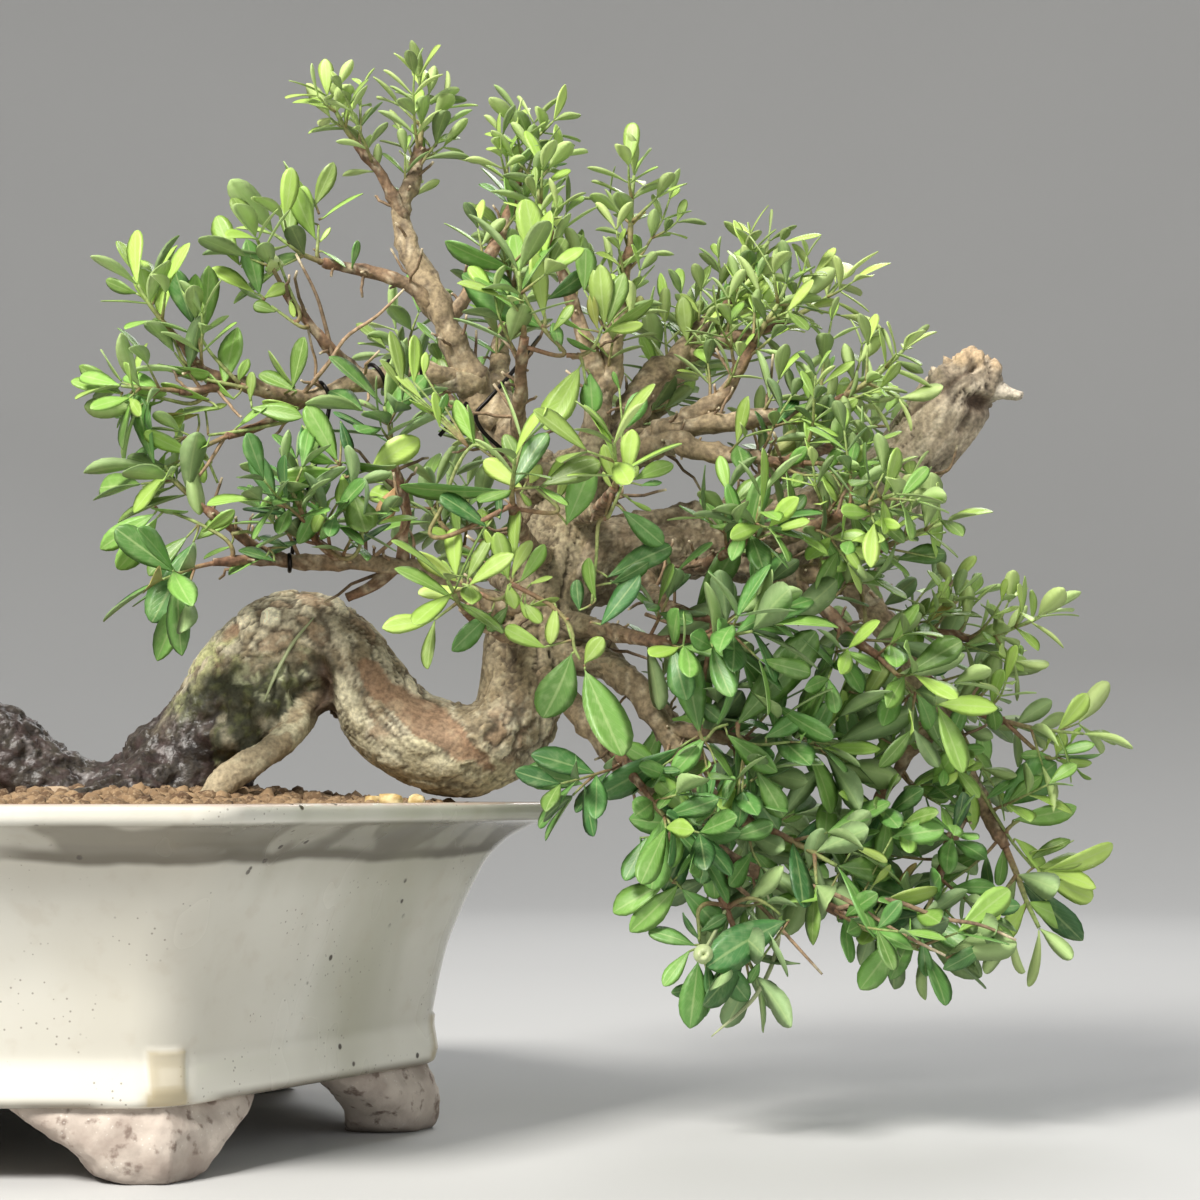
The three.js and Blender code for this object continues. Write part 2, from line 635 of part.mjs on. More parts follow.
// A mesh that is grown face by face. A sprout replaces a four-cornered face by rings of four points.
class Skin {
  constructor() {
    this.points = [];
    this.triangles = [];
  }

  ring(points) {
    points.forEach((point) => this.points.push(point));
    return points.map((_, k) => this.points.length - points.length + k);
  }

  quad(a, b, c, d) {
    this.triangles.push([a, b, c], [a, c, d]);
  }

  // The side faces between two rings, apart from those whose number is in open
  band(from, to, open = []) {
    for (let k = 0; k < 4; k += 1) {
      const next = (k + 1) % 4;
      if (!open.includes(k)) {
        this.quad(from[k], from[next], to[next], to[k]);
      }
    }
  }

  // A blade's upper and lower faces are split along the same diagonals
  blade(root, leaf) {
    const { ring, shoulders } = leafRings(leaf);
    const rings = [root, ...shoulders.map((points) => this.ring(points))];
    for (let k = 0; k < 2; k += 1) {
      const [a, b] = [rings[k], rings[k + 1]];
      this.triangles.push([a[0], a[1], b[1]], [a[0], b[1], b[0]], [a[2], a[3], b[2]], [b[2], a[3], b[3]]);
      this.quad(a[1], a[2], b[2], b[1]);
      this.quad(a[3], a[0], b[0], b[3]);
    }
    const tip = ring(1, 0);
    const [under, over] = this.ring([tip[0], tip[2]]);
    const last = rings[2];
    this.triangles.push([last[0], last[1], under], [last[2], last[3], over]);
    this.quad(last[1], last[2], over, under);
    this.quad(last[3], last[0], under, over);
  }

  solid() {
    return new wasm.Manifold(
      new wasm.Mesh({
        numProp: 3,
        vertProperties: new Float32Array(this.points.flatMap((point) => point.toArray())),
        triVerts: new Uint32Array(this.triangles.flat()),
      })
    );
  }
}

// Whether a shape is clear of every piece in a list
function isClear(shape, others) {
  const box = shape.boundingBox();
  for (const other of others) {
    const { min, max } = other.box;
    const apart = [0, 1, 2].some((axis) => box.min[axis] > max[axis] || box.max[axis] < min[axis]);
    if (!apart && shape.intersect(other.solid).volume() > 1e-6) {
      return false;
    }
  }
  return true;
}

const withBox = (solid) => ({ solid, box: solid.boundingBox() });

// Four corners of a stem, with its four faces square to across and other. Face k lies between corners
// k and k + 1: faces 0 and 2 look along minus and plus other, 1 and 3 along plus and minus across.
function stemRing(centre, across, other, half) {
  return [[-1, -1], [1, -1], [1, 1], [-1, 1]].map(([a, o]) => {
    return centre.clone().addScaledVector(across, a * half).addScaledVector(other, o * half);
  });
}

// The faces that look along plus and minus a side, in that order
const facesAlong = (isAcross) => (isAcross ? [1, 3] : [2, 0]);

// Corners of face k in the order of a sprout's ring: low left, low right, high right, high left,
// as seen from outside with the stem upright
const faceCorners = (low, high, k) => [low[k], low[(k + 1) % 4], high[(k + 1) % 4], high[k]];

// Skins one stem from a ring that is already there. Each leaf or side shoot is left out where it would
// touch something.
function skinStem(skin, base, nodes, half, obstacles, own, budding) {
  let below = base;
  nodes.forEach((node, order) => {
    const isTip = order === nodes.length - 1;
    const height = isTip ? TIP_NODE_HEIGHT : NODE_HEIGHT;
    const girth = half * (1 - (STEM_TAPER * (order + 1)) / nodes.length);
    const lowCentre = node.at.clone().addScaledVector(node.direction, -height / 2);
    const highCentre = node.at.clone().addScaledVector(node.direction, height / 2);
    const low = skin.ring(stemRing(lowCentre, node.across, node.other, girth));
    const high = skin.ring(stemRing(highCentre, node.across, node.other, girth));
    const isAcross = node.leafSide === node.across;
    const open = [];
    facesAlong(isAcross).forEach((face, k) => {
      const fat = (from) => bladeSolid(node.leaves[k], BLADE_THICKNESS + 2 * CLEARANCE, 1.03, from);
      if (isClear(fat(0.02), obstacles) && isClear(fat(LEAF_STALK), own)) {
        open.push(face);
        skin.blade(faceCorners(low, high, face), node.leaves[k]);
        own.push(withBox(bladeSolid(node.leaves[k], BLADE_THICKNESS, 1, LEAF_STALK)));
      }
    });
    if (budding && !isTip) {
      open.push(...budding(node, order, facesAlong(!isAcross), low, high, girth));
    }
    skin.band(below, low);
    skin.band(low, high, open);
    below = high;
  });
  skin.quad(...below);
}

function tubeSolid(points, half) {
  const heading = points[1].clone().sub(points[0]).normalize();
  const across = squareTo(new THREE.Vector3(0.2, 1, 0.1), heading);
  const other = heading.clone().cross(across);
  return solidOf(loft(points.map((point) => stemRing(point, across, other, half))));
}

// Where a shoot's main stem runs: on from the cut end of its limb, face to face with it
function planShoot(name, number) {
  const [, last, ...points] = LIMBS[name];
  const [length, leafLength, lift, sideShoots] = SHOOTS[name];
  const line = points.map(([x, y, z]) => seen(x, y, z));
  const curve = new THREE.CatmullRomCurve3(line, false, 'centripetal');
  const heading = curve.getTangent(1);
  const start = curve.getPoint(1).addScaledVector(heading, CLEARANCE);
  const side = new THREE.Vector3(Math.sin(number), Math.cos(number), 0.3);
  const nodes = growStem(start, heading, side, length, leafLength, lift, STEM_NODES, number + 1);
  const half = last * STEM_GIRTH;
  const stations = [start, ...nodes.map((node) => node.at)];
  const tubes = nodes.map((node, k) => withBox(tubeSolid([stations[k], node.at], half)));
  return { name, number, start, heading, side, nodes, half, tubes, length, leafLength, lift, sideShoots };
}

// One leafy shoot, a single skin from its foot to its leaf tips
function makeShoot(plan, obstacles) {
  const { number, start, heading, side, nodes, half, tubes, length, leafLength, lift, sideShoots } = plan;
  const across = squareTo(side, heading);
  const other = heading.clone().cross(across);
  const skin = new Skin();
  const base = skin.ring(stemRing(start, across, other, half));
  skin.quad(base[3], base[2], base[1], base[0]);
  const own = [...tubes];
  let budded = 0;
  const budding = (node, order, faces, low, high, girth) => {
    const hand = (number + order) % 2;
    const toward = node.budSide.clone().multiplyScalar(hand ? -1 : 1);
    const budHeading = node.direction.clone().multiplyScalar(0.6).addScaledVector(toward, 0.8).normalize();
    const seed = (number + 1) * 31 + order;
    const budSide = node.direction.clone().cross(toward);
    const [twigLength, twigLeaf] = [length * TWIG_LENGTH, leafLength * TWIG_LEAF];
    const twig = growStem(node.at, budHeading, budSide, twigLength, twigLeaf, lift, 1, seed);
    const foot = node.at.clone().addScaledVector(budHeading, TWIG_FOOT);
    const tube = tubeSolid([foot, twig[0].at], girth + CLEARANCE);
    if (budded >= sideShoots || !isClear(tube, obstacles) || !isClear(tube, own.slice(STEM_NODES))) {
      return [];
    }
    budded += 1;
    own.push(withBox(tubeSolid([foot, twig[0].at], girth)));
    const face = faces[hand];
    skinStem(skin, faceCorners(low, high, face), twig, girth * TWIG_GIRTH, obstacles, own, null);
    return [face];
  };
  skinStem(skin, base, nodes, half, obstacles, own, budding);
  return skin.solid();
}

// Wire

// The training wire winds round the limb that reaches left, close to its bark
const COIL_TURNS = 3;
const COIL_STEPS_PER_TURN = 9;
const COIL_FROM = 0.145;
const COIL_TO = 0.3;
const COIL_CLEARANCE = 0.8; // the limb's facets stand out between the turns
function makeCoil() {
  const [first, last, ...points] = LIMBS.mid_left;
  const curve = new THREE.CatmullRomCurve3(points.map(([x, y, z]) => seen(x, y, z)), false, 'centripetal');
  const steps = COIL_TURNS * COIL_STEPS_PER_TURN;
  const path = [];
  for (let step = 0; step <= steps; step += 1) {
    const t = THREE.MathUtils.lerp(COIL_FROM, COIL_TO, step / steps);
    const tangent = curve.getTangent(t);
    const across = squareTo(new THREE.Vector3(0, 1, 0), tangent);
    const other = tangent.clone().cross(across);
    const angle = (step / COIL_STEPS_PER_TURN) * Math.PI * 2;
    const radius = THREE.MathUtils.lerp(first, last, t) + WIRE_THICKNESS / 2 + COIL_CLEARANCE;
    const offset = across.multiplyScalar(Math.cos(angle)).addScaledVector(other, Math.sin(angle));
    path.push(curve.getPoint(t).addScaledVector(offset, radius));
  }
  return solidOf(limb(path, path.map(() => WIRE_THICKNESS / 2), 4));
}

// A second wire ties the left limb down to the limb over the arch
const TIE_LINE = [
  [96, -19.5, 236.6],
  [94, -21, 226],
  [89, -25, 208],
  [84, -29.2, 187.6],
];
function makeTie() {
  const points = TIE_LINE.map(([x, y, z]) => seen(x, y, z));
  return solidOf(limb(points, points.map(() => WIRE_THICKNESS / 2), 5));
}

// Assembly

const GLAZE = new THREE.MeshStandardMaterial({ color: '#d9d3c4', roughness: 0.28, metalness: 0 });
const EARTH = new THREE.MeshStandardMaterial({ color: '#8a5a36', roughness: 0.95, metalness: 0 });
const BARK = new THREE.MeshStandardMaterial({ color: '#8b7356', roughness: 0.85, metalness: 0 });
const LEAF = new THREE.MeshStandardMaterial({ color: '#5f9440', roughness: 0.4, metalness: 0 });
const NET = new THREE.MeshStandardMaterial({ color: '#23352c', roughness: 0.6, metalness: 0 });
const PUMICE = new THREE.MeshStandardMaterial({ color: '#cdb27a', roughness: 0.9, metalness: 0 });
const WIRE = new THREE.MeshStandardMaterial({ color: '#141313', roughness: 0.45, metalness: 0.7 });

const bonsai = new THREE.Group();
const placed = [];

function add(name, solid, material) {
  const mesh = new THREE.Mesh(geometryOf(solid), material.clone());
  mesh.name = name;
  bonsai.add(mesh);
  placed.push(withBox(solid));
}

add('pot', makePot(), GLAZE);
add('drain_net', makeDrainNet(), NET);
add('tree', makeWood(), BARK);
add('soil', makeSoil(), EARTH);
STONES.forEach((row) => add(row[0], stone(row), row[0] === 'bark_chip' ? BARK : PUMICE));
add('training_wire', makeCoil(), WIRE);
add('tie_wire', makeTie(), WIRE);
const plans = Object.keys(SHOOTS).map(planShoot);
for (const plan of plans) {
  const otherStems = plans.filter((other) => other !== plan).flatMap((other) => other.tubes);
  add(`leaves_${plan.name}`, makeShoot(plan, [...placed, ...otherStems]), LEAF);
}

// The origin lies on the ground under the middle of the whole object
const extent = new THREE.Box3().setFromObject(bonsai);
bonsai.position.set(-(extent.min.x + extent.max.x) / 2, -(extent.min.y + extent.max.y) / 2, -extent.min.z);

export default bonsai;
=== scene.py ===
# %% [markdown]
# # An old bonsai with a snaking trunk, in a glazed pot
# The tree comes out of the soil, dives and rises like a snake, and leans far out over the rim of a
# six-sided pot. The frame that is loaded here has every piece at its true size and place, with few faces.
# This lesson gives each piece its fine surface and its finish. A piece of the frame is never moved: a new
# piece stands for it, in the same place.

# %% Load the frame
import math

import bpy
import numpy as np
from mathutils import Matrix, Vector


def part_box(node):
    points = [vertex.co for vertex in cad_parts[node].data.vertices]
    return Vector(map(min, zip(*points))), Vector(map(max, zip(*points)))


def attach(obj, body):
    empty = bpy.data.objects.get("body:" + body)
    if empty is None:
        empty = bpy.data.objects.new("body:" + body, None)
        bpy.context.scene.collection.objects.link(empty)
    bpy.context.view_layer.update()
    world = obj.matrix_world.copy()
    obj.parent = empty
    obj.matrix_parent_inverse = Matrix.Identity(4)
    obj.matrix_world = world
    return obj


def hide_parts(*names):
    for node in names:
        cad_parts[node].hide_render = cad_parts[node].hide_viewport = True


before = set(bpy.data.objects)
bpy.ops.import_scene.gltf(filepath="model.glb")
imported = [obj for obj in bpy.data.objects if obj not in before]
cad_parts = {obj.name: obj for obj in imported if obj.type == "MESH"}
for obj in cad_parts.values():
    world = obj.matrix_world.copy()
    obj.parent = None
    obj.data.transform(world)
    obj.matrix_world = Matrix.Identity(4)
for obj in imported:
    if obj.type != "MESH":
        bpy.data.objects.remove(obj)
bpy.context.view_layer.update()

# %% [markdown]
# The tree is easiest to describe in millimetres, from the middle of the pot at the height of the ground.
# So the shapes below are worked out in that frame, and are moved to the frame's own place when they become
# meshes. The front view was measured on the pot's middle plane. A limb that reaches to the front or the
# back keeps its place in that view, if its points slide along the line of sight.

# %% Units, and the viewer
MM = 0.001
pot_low, pot_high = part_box("pot")
POT_MIDDLE = np.array([(pot_low.x + pot_high.x) / 2, (pot_low.y + pot_high.y) / 2, 0.0])
VIEWER = np.array([185.0, -785.0, 107.8])


def seen(points):
    """Slides points along the line of sight: x and z are as they look on the middle plane, y is the depth."""
    points = np.asarray(points, float)
    share = (points[..., 1:2] - VIEWER[1]) / -VIEWER[1]
    slid = points.copy()
    slid[..., 0::2] = VIEWER[0::2] + (points[..., 0::2] - VIEWER[0::2]) * share
    return slid


# %% [markdown]
# Camera, floor and light. The photograph was taken from just over the rim's height, a little upwards, with
# the pot's left half outside the picture. The floor is plain and pale. A big soft lamp from the front left
# is the main light, as in the photograph, where the front of the pot is bright and the underside of its
# lip is dark. A weaker lamp fills in from the right, and one behind gives the leaves their bright edges.

# %% Camera
LENS = 72.0
CAMERA_PITCH = math.radians(4.58)
camera = bpy.data.objects.new("camera", bpy.data.cameras.new("camera"))
bpy.context.scene.collection.objects.link(camera)
camera.data.lens = LENS
camera.data.sensor_width = 36.0
camera.location = VIEWER * MM + POT_MIDDLE
camera.rotation_euler = (math.pi / 2 + CAMERA_PITCH, 0, 0)
bpy.context.scene.camera = camera
bpy.context.scene.view_settings.view_transform = "Standard"
print("camera at", [round(v, 3) for v in camera.location])


# %% Lamps and sky
def soft_lamp(name, place, aim, size, watts, colour):
    """A square lamp at place that faces aim, both in metres."""
    lamp = bpy.data.objects.new(name, bpy.data.lights.new(name, "AREA"))
    bpy.context.scene.collection.objects.link(lamp)
    lamp.data.size = size
    lamp.data.energy = watts
    lamp.data.color = colour
    lamp.location = place
    way = np.array(aim) - np.array(place)
    lamp.rotation_euler = (math.acos(-way[2] / np.linalg.norm(way)), 0, math.atan2(-way[0], way[1]))


TREE_MIDDLE = (0.02, 0.0, 0.15)
soft_lamp("key_lamp", (-0.62, -1.02, 1.24), TREE_MIDDLE, 0.5, 44.0, (1.0, 0.97, 0.92))
soft_lamp("fill_lamp", (1.2, -1.1, 0.8), TREE_MIDDLE, 1.0, 5.0, (0.95, 0.97, 1.0))
soft_lamp("back_lamp", (0.5, 1.2, 1.3), TREE_MIDDLE, 0.8, 12.0, (1.0, 1.0, 1.0))
sky = bpy.data.worlds.new("studio")
bpy.context.scene.world = sky
sky.use_nodes = True
sky.node_tree.nodes["Background"].inputs["Color"].default_value = (0.84, 0.86, 0.88, 1.0)
sky.node_tree.nodes["Background"].inputs["Strength"].default_value = 0.33

# %% [markdown]
# Helpers for surfaces. A surface here is a grid of points worked out at once, as a numpy array, and its
# faces join neighbours of the grid. make_piece puts such arrays into a mesh and makes the mesh ride.


# %% Mesh helpers
def make_piece(name, points, face_sets, materials, replaced=(), tones=None, uvs=None):
    """Turns points (n by 3, mm) and face sets (array of faces, material number) into a smooth mesh.

    tones gives each point four numbers that a finish may read, and uvs gives each point two.
    """
    mesh = bpy.data.meshes.new(name)
    mesh.vertices.add(len(points))
    mesh.vertices.foreach_set("co", (points * MM + POT_MIDDLE).astype(np.float32).ravel())
    corners = np.concatenate([faces.ravel() for faces, _ in face_sets]).astype(np.int32)
    sizes = np.concatenate([np.full(len(faces), faces.shape[1]) for faces, _ in face_sets])
    numbers = np.concatenate([np.full(len(faces), number) for faces, number in face_sets])
    mesh.loops.add(len(corners))
    mesh.loops.foreach_set("vertex_index", corners)
    mesh.polygons.add(len(sizes))
    mesh.polygons.foreach_set("loop_start", (np.cumsum(sizes) - sizes).astype(np.int32))
    mesh.polygons.foreach_set("material_index", numbers.astype(np.int32))
    mesh.update(calc_edges=True)
    mesh.shade_smooth()
    if tones is not None:
        layer = mesh.attributes.new("tone", "FLOAT_COLOR", "POINT")
        layer.data.foreach_set("color", tones.astype(np.float32).ravel())
    if uvs is not None:
        layer = mesh.uv_layers.new(name="UVMap")
        layer.data.foreach_set("uv", uvs[corners].astype(np.float32).ravel())
    for material in materials:
        mesh.materials.append(material)
    piece = bpy.data.objects.new(name, mesh)
    bpy.context.scene.collection.objects.link(piece)
    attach(piece, "root")
    if replaced:
        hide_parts(*replaced)
    triangles = int((sizes - 2).sum())
    print(f"{name}: {len(points)} points, {triangles} triangles")


def make_part(name, part, material, replaced, tones=None):
    """A piece with one finish, from one set of points, quads and triangles."""
    points, quads, triangles = part
    make_piece(name, points, [(quads, 0), (triangles, 0)], [material], replaced, tones)


def grid_faces(rows, columns, wrap_rows=False):
    """Faces between neighbours of a grid. Every row is a closed ring; the rows may close in a ring too."""
    row = np.arange(rows if wrap_rows else rows - 1)
    row, column = (part.ravel() for part in np.meshgrid(row, np.arange(columns), indexing="ij"))
    next_row = (row + 1) % rows
    next_column = (column + 1) % columns
    near = row * columns
    far = next_row * columns
    return np.stack([near + column, near + next_column, far + next_column, far + column], axis=1)


def end_fans(rows, columns):
    """Triangles that close a grid's first and last row; the two middle points follow the grid's own."""
    first = np.arange(columns)
    last = first + (rows - 1) * columns
    middle = np.full(columns, rows * columns)
    return np.concatenate([
        np.stack([middle, np.roll(first, -1), first], axis=1),
        np.stack([middle + 1, last, np.roll(last, -1)], axis=1),
    ])


def unit(vectors):
    """Vectors divided by their lengths."""
    return vectors / np.maximum(np.linalg.norm(vectors, axis=-1, keepdims=True), 1e-12)


def smooth_step(low, high, value):
    """0 below low, 1 above high, and an S-shaped rise between them."""
    share = np.clip((value - low) / (high - low), 0, 1)
    return share * share * (3 - 2 * share)


# %% [markdown]
# Nature is never plain, so most surfaces are disturbed by noise: a smooth random field. The first kind
# gives soft lumps. The second kind splits space into cells, as mud does when it dries. Its cracks and its
# plates are what bark is made of.


# %% Noise
def lattice(cells, seed):
    """A repeatable random number from 0 to 1 for each whole-numbered cell (n by 3)."""
    mixed = cells[..., 0] * 374761393 + cells[..., 1] * 668265263 + cells[..., 2] * 2147483647
    mixed = mixed + seed * 974634777
    mixed = (mixed ^ (mixed >> 13)) * 1274126177
    mixed = mixed ^ (mixed >> 16)
    return (mixed & 0xFFFFFF) / 0xFFFFFF


def noise(points, seed=0):
    """Random numbers at the corners of unit cubes, blended smoothly between them, from -1 to 1."""
    cells = np.floor(points).astype(np.int64)
    inside = points - cells
    inside = inside * inside * (3 - 2 * inside)
    total = np.zeros(len(points))
    for corner in range(8):
        step = np.array([corner & 1, corner >> 1 & 1, corner >> 2])
        weight = np.prod(np.where(step == 1, inside, 1 - inside), axis=1)
        total += weight * lattice(cells + step, seed)
    return total * 2 - 1


def rough(points, octaves=4, seed=0):
    """Noise added to itself, each time at twice the fineness and half the height."""
    return sum(noise(points * 2**k, seed + k) / 2**k for k in range(octaves))


def plates(points, seed=0):
    """Cells round scattered seeds: how far each point is from a crack, and its cell's random number."""
    cells = np.floor(points).astype(np.int64)
    nearest = np.full(len(points), 9.0)
    second = np.full(len(points), 9.0)
    number = np.zeros(len(points))
    for k in range(27):
        cell = cells + np.array([k % 3, k // 3 % 3, k // 9]) - 1
        spot = cell + np.stack([lattice(cell, seed + axis) for axis in range(3)], axis=1)
        distance = np.linalg.norm(points - spot, axis=1)
        closer = distance < nearest
        second = np.where(closer, nearest, np.minimum(second, distance))
        number = np.where(closer, lattice(cell, seed + 7), number)
        nearest = np.where(closer, distance, nearest)
    return second - nearest, number


# %% [markdown]
# Finishes are node materials. Every one starts from the Principled shader, and its colour, roughness and
# bump come from noise on Object coordinates, so a finish stays where it is when the object is moved.
# The small class below keeps each recipe down to a few lines.


# %% Finish helper
class Finish:
    """A Principled material, with short calls that add the nodes which feed it."""

    def __init__(self, name, roughness=0.5, **sockets):
        self.material = bpy.data.materials.new(name)
        self.material.use_nodes = True
        self.nodes = self.material.node_tree.nodes
        self.shader = self.nodes["Principled BSDF"]
        self.shader.inputs["Roughness"].default_value = roughness
        for socket, value in sockets.items():
            self.shader.inputs[socket.replace("_", " ")].default_value = value
        self.place = self.nodes.new("ShaderNodeTexCoord").outputs["Object"]

    def add(self, kind, inputs, **settings):
        """A node of a kind: settings go on the node, and inputs are values or other nodes' outputs."""
        node = self.nodes.new(kind)
        for key, value in settings.items():
            setattr(node, key, value)
        for key, value in inputs.items():
            if isinstance(value, bpy.types.NodeSocket):
                self.material.node_tree.links.new(value, node.inputs[key])
            else:
                node.inputs[key].default_value = value
        return node

    def stretched(self, stretch):
        """Object coordinates multiplied by three numbers."""
        node = self.add("ShaderNodeMapping", {"Vector": self.place, "Scale": stretch})
        return node.outputs["Vector"]

    def noise(self, scale, detail=4.0, stretch=None, distortion=0.0):
        """A smooth random number round 0.5; scale is how many lumps there are to a metre."""
        where = self.stretched(stretch) if stretch else self.place
        inputs = {"Vector": where, "Scale": scale, "Detail": detail, "Distortion": distortion}
        return self.add("ShaderNodeTexNoise", inputs).outputs["Fac"]

    def patches(self, scale, low, high, **more):
        """Noise made into patches: 0 where it is below low, and 1 above high."""
        return self.step(self.noise(scale, **more), low, high)

    def cells(self, scale, stretch=None):
        """The distance to the nearest of many scattered seeds."""
        where = self.stretched(stretch) if stretch else self.place
        return self.add("ShaderNodeTexVoronoi", {"Vector": where, "Scale": scale}).outputs["Distance"]

    def times(self, first, *others):
        """The product of two or more numbers."""
        for other in others:
            first = self.math("MULTIPLY", first, other)
        return first

    def math(self, operation, first, second=0.0):
        """A sum, a difference, or another operation on one or two numbers."""
        return self.add("ShaderNodeMath", {0: first, 1: second}, operation=operation).outputs[0]

    def step(self, value, low, high):
        """0 below low, 1 above high, smooth between; low may be above high, and then it falls."""
        inputs = {"Value": value, "From Min": low, "From Max": high}
        node = self.add("ShaderNodeMapRange", inputs, interpolation_type="SMOOTHSTEP")
        return node.outputs["Result"]

    def mix(self, share, first, second, blend="MIX"):
        """Two colours mixed; a colour may be three numbers."""
        inputs = {0: share}
        for key, colour in ((6, first), (7, second)):
            is_plain = isinstance(colour, tuple)
            inputs[key] = (*colour, 1.0) if is_plain else colour
        node = self.add("ShaderNodeMix", inputs, data_type="RGBA", blend_type=blend)
        return node.outputs[2]

    def axis(self, name):
        """One of the Object coordinates, in metres."""
        return self.add("ShaderNodeSeparateXYZ", {"Vector": self.place}).outputs[name]

    def tone(self):
        """The four numbers that the mesh carries for this finish, as a colour node."""
        node = self.add("ShaderNodeAttribute", {})
        node.attribute_name = "tone"
        return node

    def tones(self):
        """The first three of those numbers, apart."""
        node = self.add("ShaderNodeSeparateColor", {"Color": self.tone().outputs["Color"]})
        return node.outputs["Red"], node.outputs["Green"], node.outputs["Blue"]

    def finish(self, colour=None, roughness=None, height=None, depth_mm=0.3, strength=0.6):
        """Joins what was made to the shader. height is a bump, depth_mm is how deep it is."""
        links = self.material.node_tree.links
        if colour is not None:
            links.new(colour, self.shader.inputs["Base Color"])
        if roughness is not None:
            links.new(roughness, self.shader.inputs["Roughness"])
        if height is not None:
            inputs = {"Height": height, "Distance": depth_mm * MM, "Strength": strength}
            bump = self.add("ShaderNodeBump", inputs)
            links.new(bump.outputs["Normal"], self.shader.inputs["Normal"])
        return self.material


def speckled(name, dark, light, scale, depth_mm, detail=4.0, stretch=None, **sockets):
    """A finish with one noise, which mixes its two tones and is its relief as well."""
    made = Finish(name, **sockets)
    tint = made.noise(scale, detail, stretch)
    return made.finish(made.mix(tint, dark, light), height=tint, depth_mm=depth_mm)


# %% [markdown]
# The floor is a wide round bowl, as in a photographer's studio: flat where the pot stands, and bent up to a
# wall all round, so that no view has a horizon. It is a profile turned about the vertical.

# %% Floor
FLAT_REACH = 1.5
BEND = 1.1
WALL_TOP = 1.7
AROUND = 96
floor_finish = Finish("pale_floor", roughness=0.75)
grain = floor_finish.noise(3.0, detail=1.0)
floor_tone = floor_finish.mix(grain, (0.51, 0.51, 0.505), (0.54, 0.54, 0.535))
floor_finish.finish(floor_tone)
bend_angle = np.linspace(0, math.pi / 2, 17)
reach = np.concatenate([[0.02, 0.5], FLAT_REACH + BEND * np.sin(bend_angle), [FLAT_REACH + BEND]])
rise = np.concatenate([[0, 0], BEND * (1 - np.cos(bend_angle)), [WALL_TOP]])
turned = np.linspace(0, 2 * math.pi, AROUND, endpoint=False)
levels = np.repeat(rise[:, None], AROUND, axis=1)
floor_points = np.stack([reach[:, None] * np.cos(turned), reach[:, None] * np.sin(turned), levels], axis=2)
floor_points = floor_points.reshape(-1, 3)
floor_mesh = bpy.data.meshes.new("floor")
floor_faces = grid_faces(len(reach), AROUND)[:, ::-1].tolist() + [list(range(AROUND))]
floor_mesh.from_pydata(floor_points.tolist(), [], floor_faces)
floor_mesh.shade_smooth()
floor_mesh.materials.append(floor_finish.material)
floor = bpy.data.objects.new("floor", floor_mesh)
bpy.context.scene.collection.objects.link(floor)


# %% [markdown]
# The pot. It was pressed in one piece of stoneware and dipped in a cream glaze, except for the feet. Its
# wall is one closed skin: from the drain hole out under the base, up the flared wall, over the rolled lip,
# down the inside and back to the hole. So it is a profile carried round a hexagon. A hexagon with rounded
# corners is a smaller hexagon to which a circle is added: at each height there is a reach to the corner
# and a radius for the rounding. A square tab stands a little proud above each foot.

# %% Pot sizes
SIXTH = math.pi / 3
CORNERS = 6
ARC_STEPS = 18
PANEL_STEPS = 26
TAB_HALF = 5.4
TAB_BOTTOM = 25.0
TAB_TOP = 36.5
TAB_RELIEF = 0.9
OUTER_ROWS = (6, 23)  # rows of the profile between which the wall faces outwards
# Reach to a corner, height and rounding, from the hole's top edge round to it again
POT_PROFILE = np.array([
    (14, 29.6, 14), (14, 21.2, 14), (15, 20.8, 15), (60, 20.7, 30), (110, 20.7, 18), (127, 20.8, 18),
    (130.4, 21.1, 18), (131.7, 22.3, 18.5), (131.9, 24.5, 19), (131.2, 29, 20), (130.5, 34, 21),
    (131.4, 40.5, 22), (135, 57, 23), (140, 70, 23), (145.4, 81.5, 22), (149.6, 88, 21), (155, 93, 20),
    (161, 96.4, 18.5), (165.6, 98.3, 17), (168.9, 99.1, 16), (170.3, 100.3, 15.3), (170.7, 102, 15),
    (170.4, 103.6, 14.6), (169.2, 104.5, 14), (166.8, 104.7, 13.6), (164, 104.4, 13), (162, 103.6, 12.4),
    (160.8, 101.8, 12), (158, 98, 12), (145, 91, 14), (137, 82.5, 15), (126.5, 57, 16), (120.5, 36, 15),
    (118, 31, 14), (112, 30, 14), (60, 30, 30), (15, 30, 15), (14, 29.6, 14),
])


def curve_through(rows, steps, closed=False):
    """A smooth line (Catmull-Rom) through rows of numbers, with a number of steps on each stretch.

    Each stretch is a cubic that leaves one row and reaches the next with slopes taken from the rows
    before and after.
    """
    rows = np.asarray(rows, float)
    if not closed:
        rows = np.concatenate([[2 * rows[0] - rows[1]], rows, [2 * rows[-1] - rows[-2]]])
    counts = np.broadcast_to(steps, len(rows) - (0 if closed else 3))
    made = []
    for k, count in enumerate(counts):
        before, start, end, after = (rows[(k + j - (1 if closed else 0)) % len(rows)] for j in range(4))
        t = (np.arange(count) / count)[:, None]
        leave, reach = (end - before) / 2, (after - start) / 2
        made.append(
            start + t * leave + t**2 * (3 * (end - start) - 2 * leave - reach)
            + t**3 * (2 * (start - end) + leave + reach)
        )
    if not closed:
        made.append(rows[-2:-1])
    return np.concatenate(made)


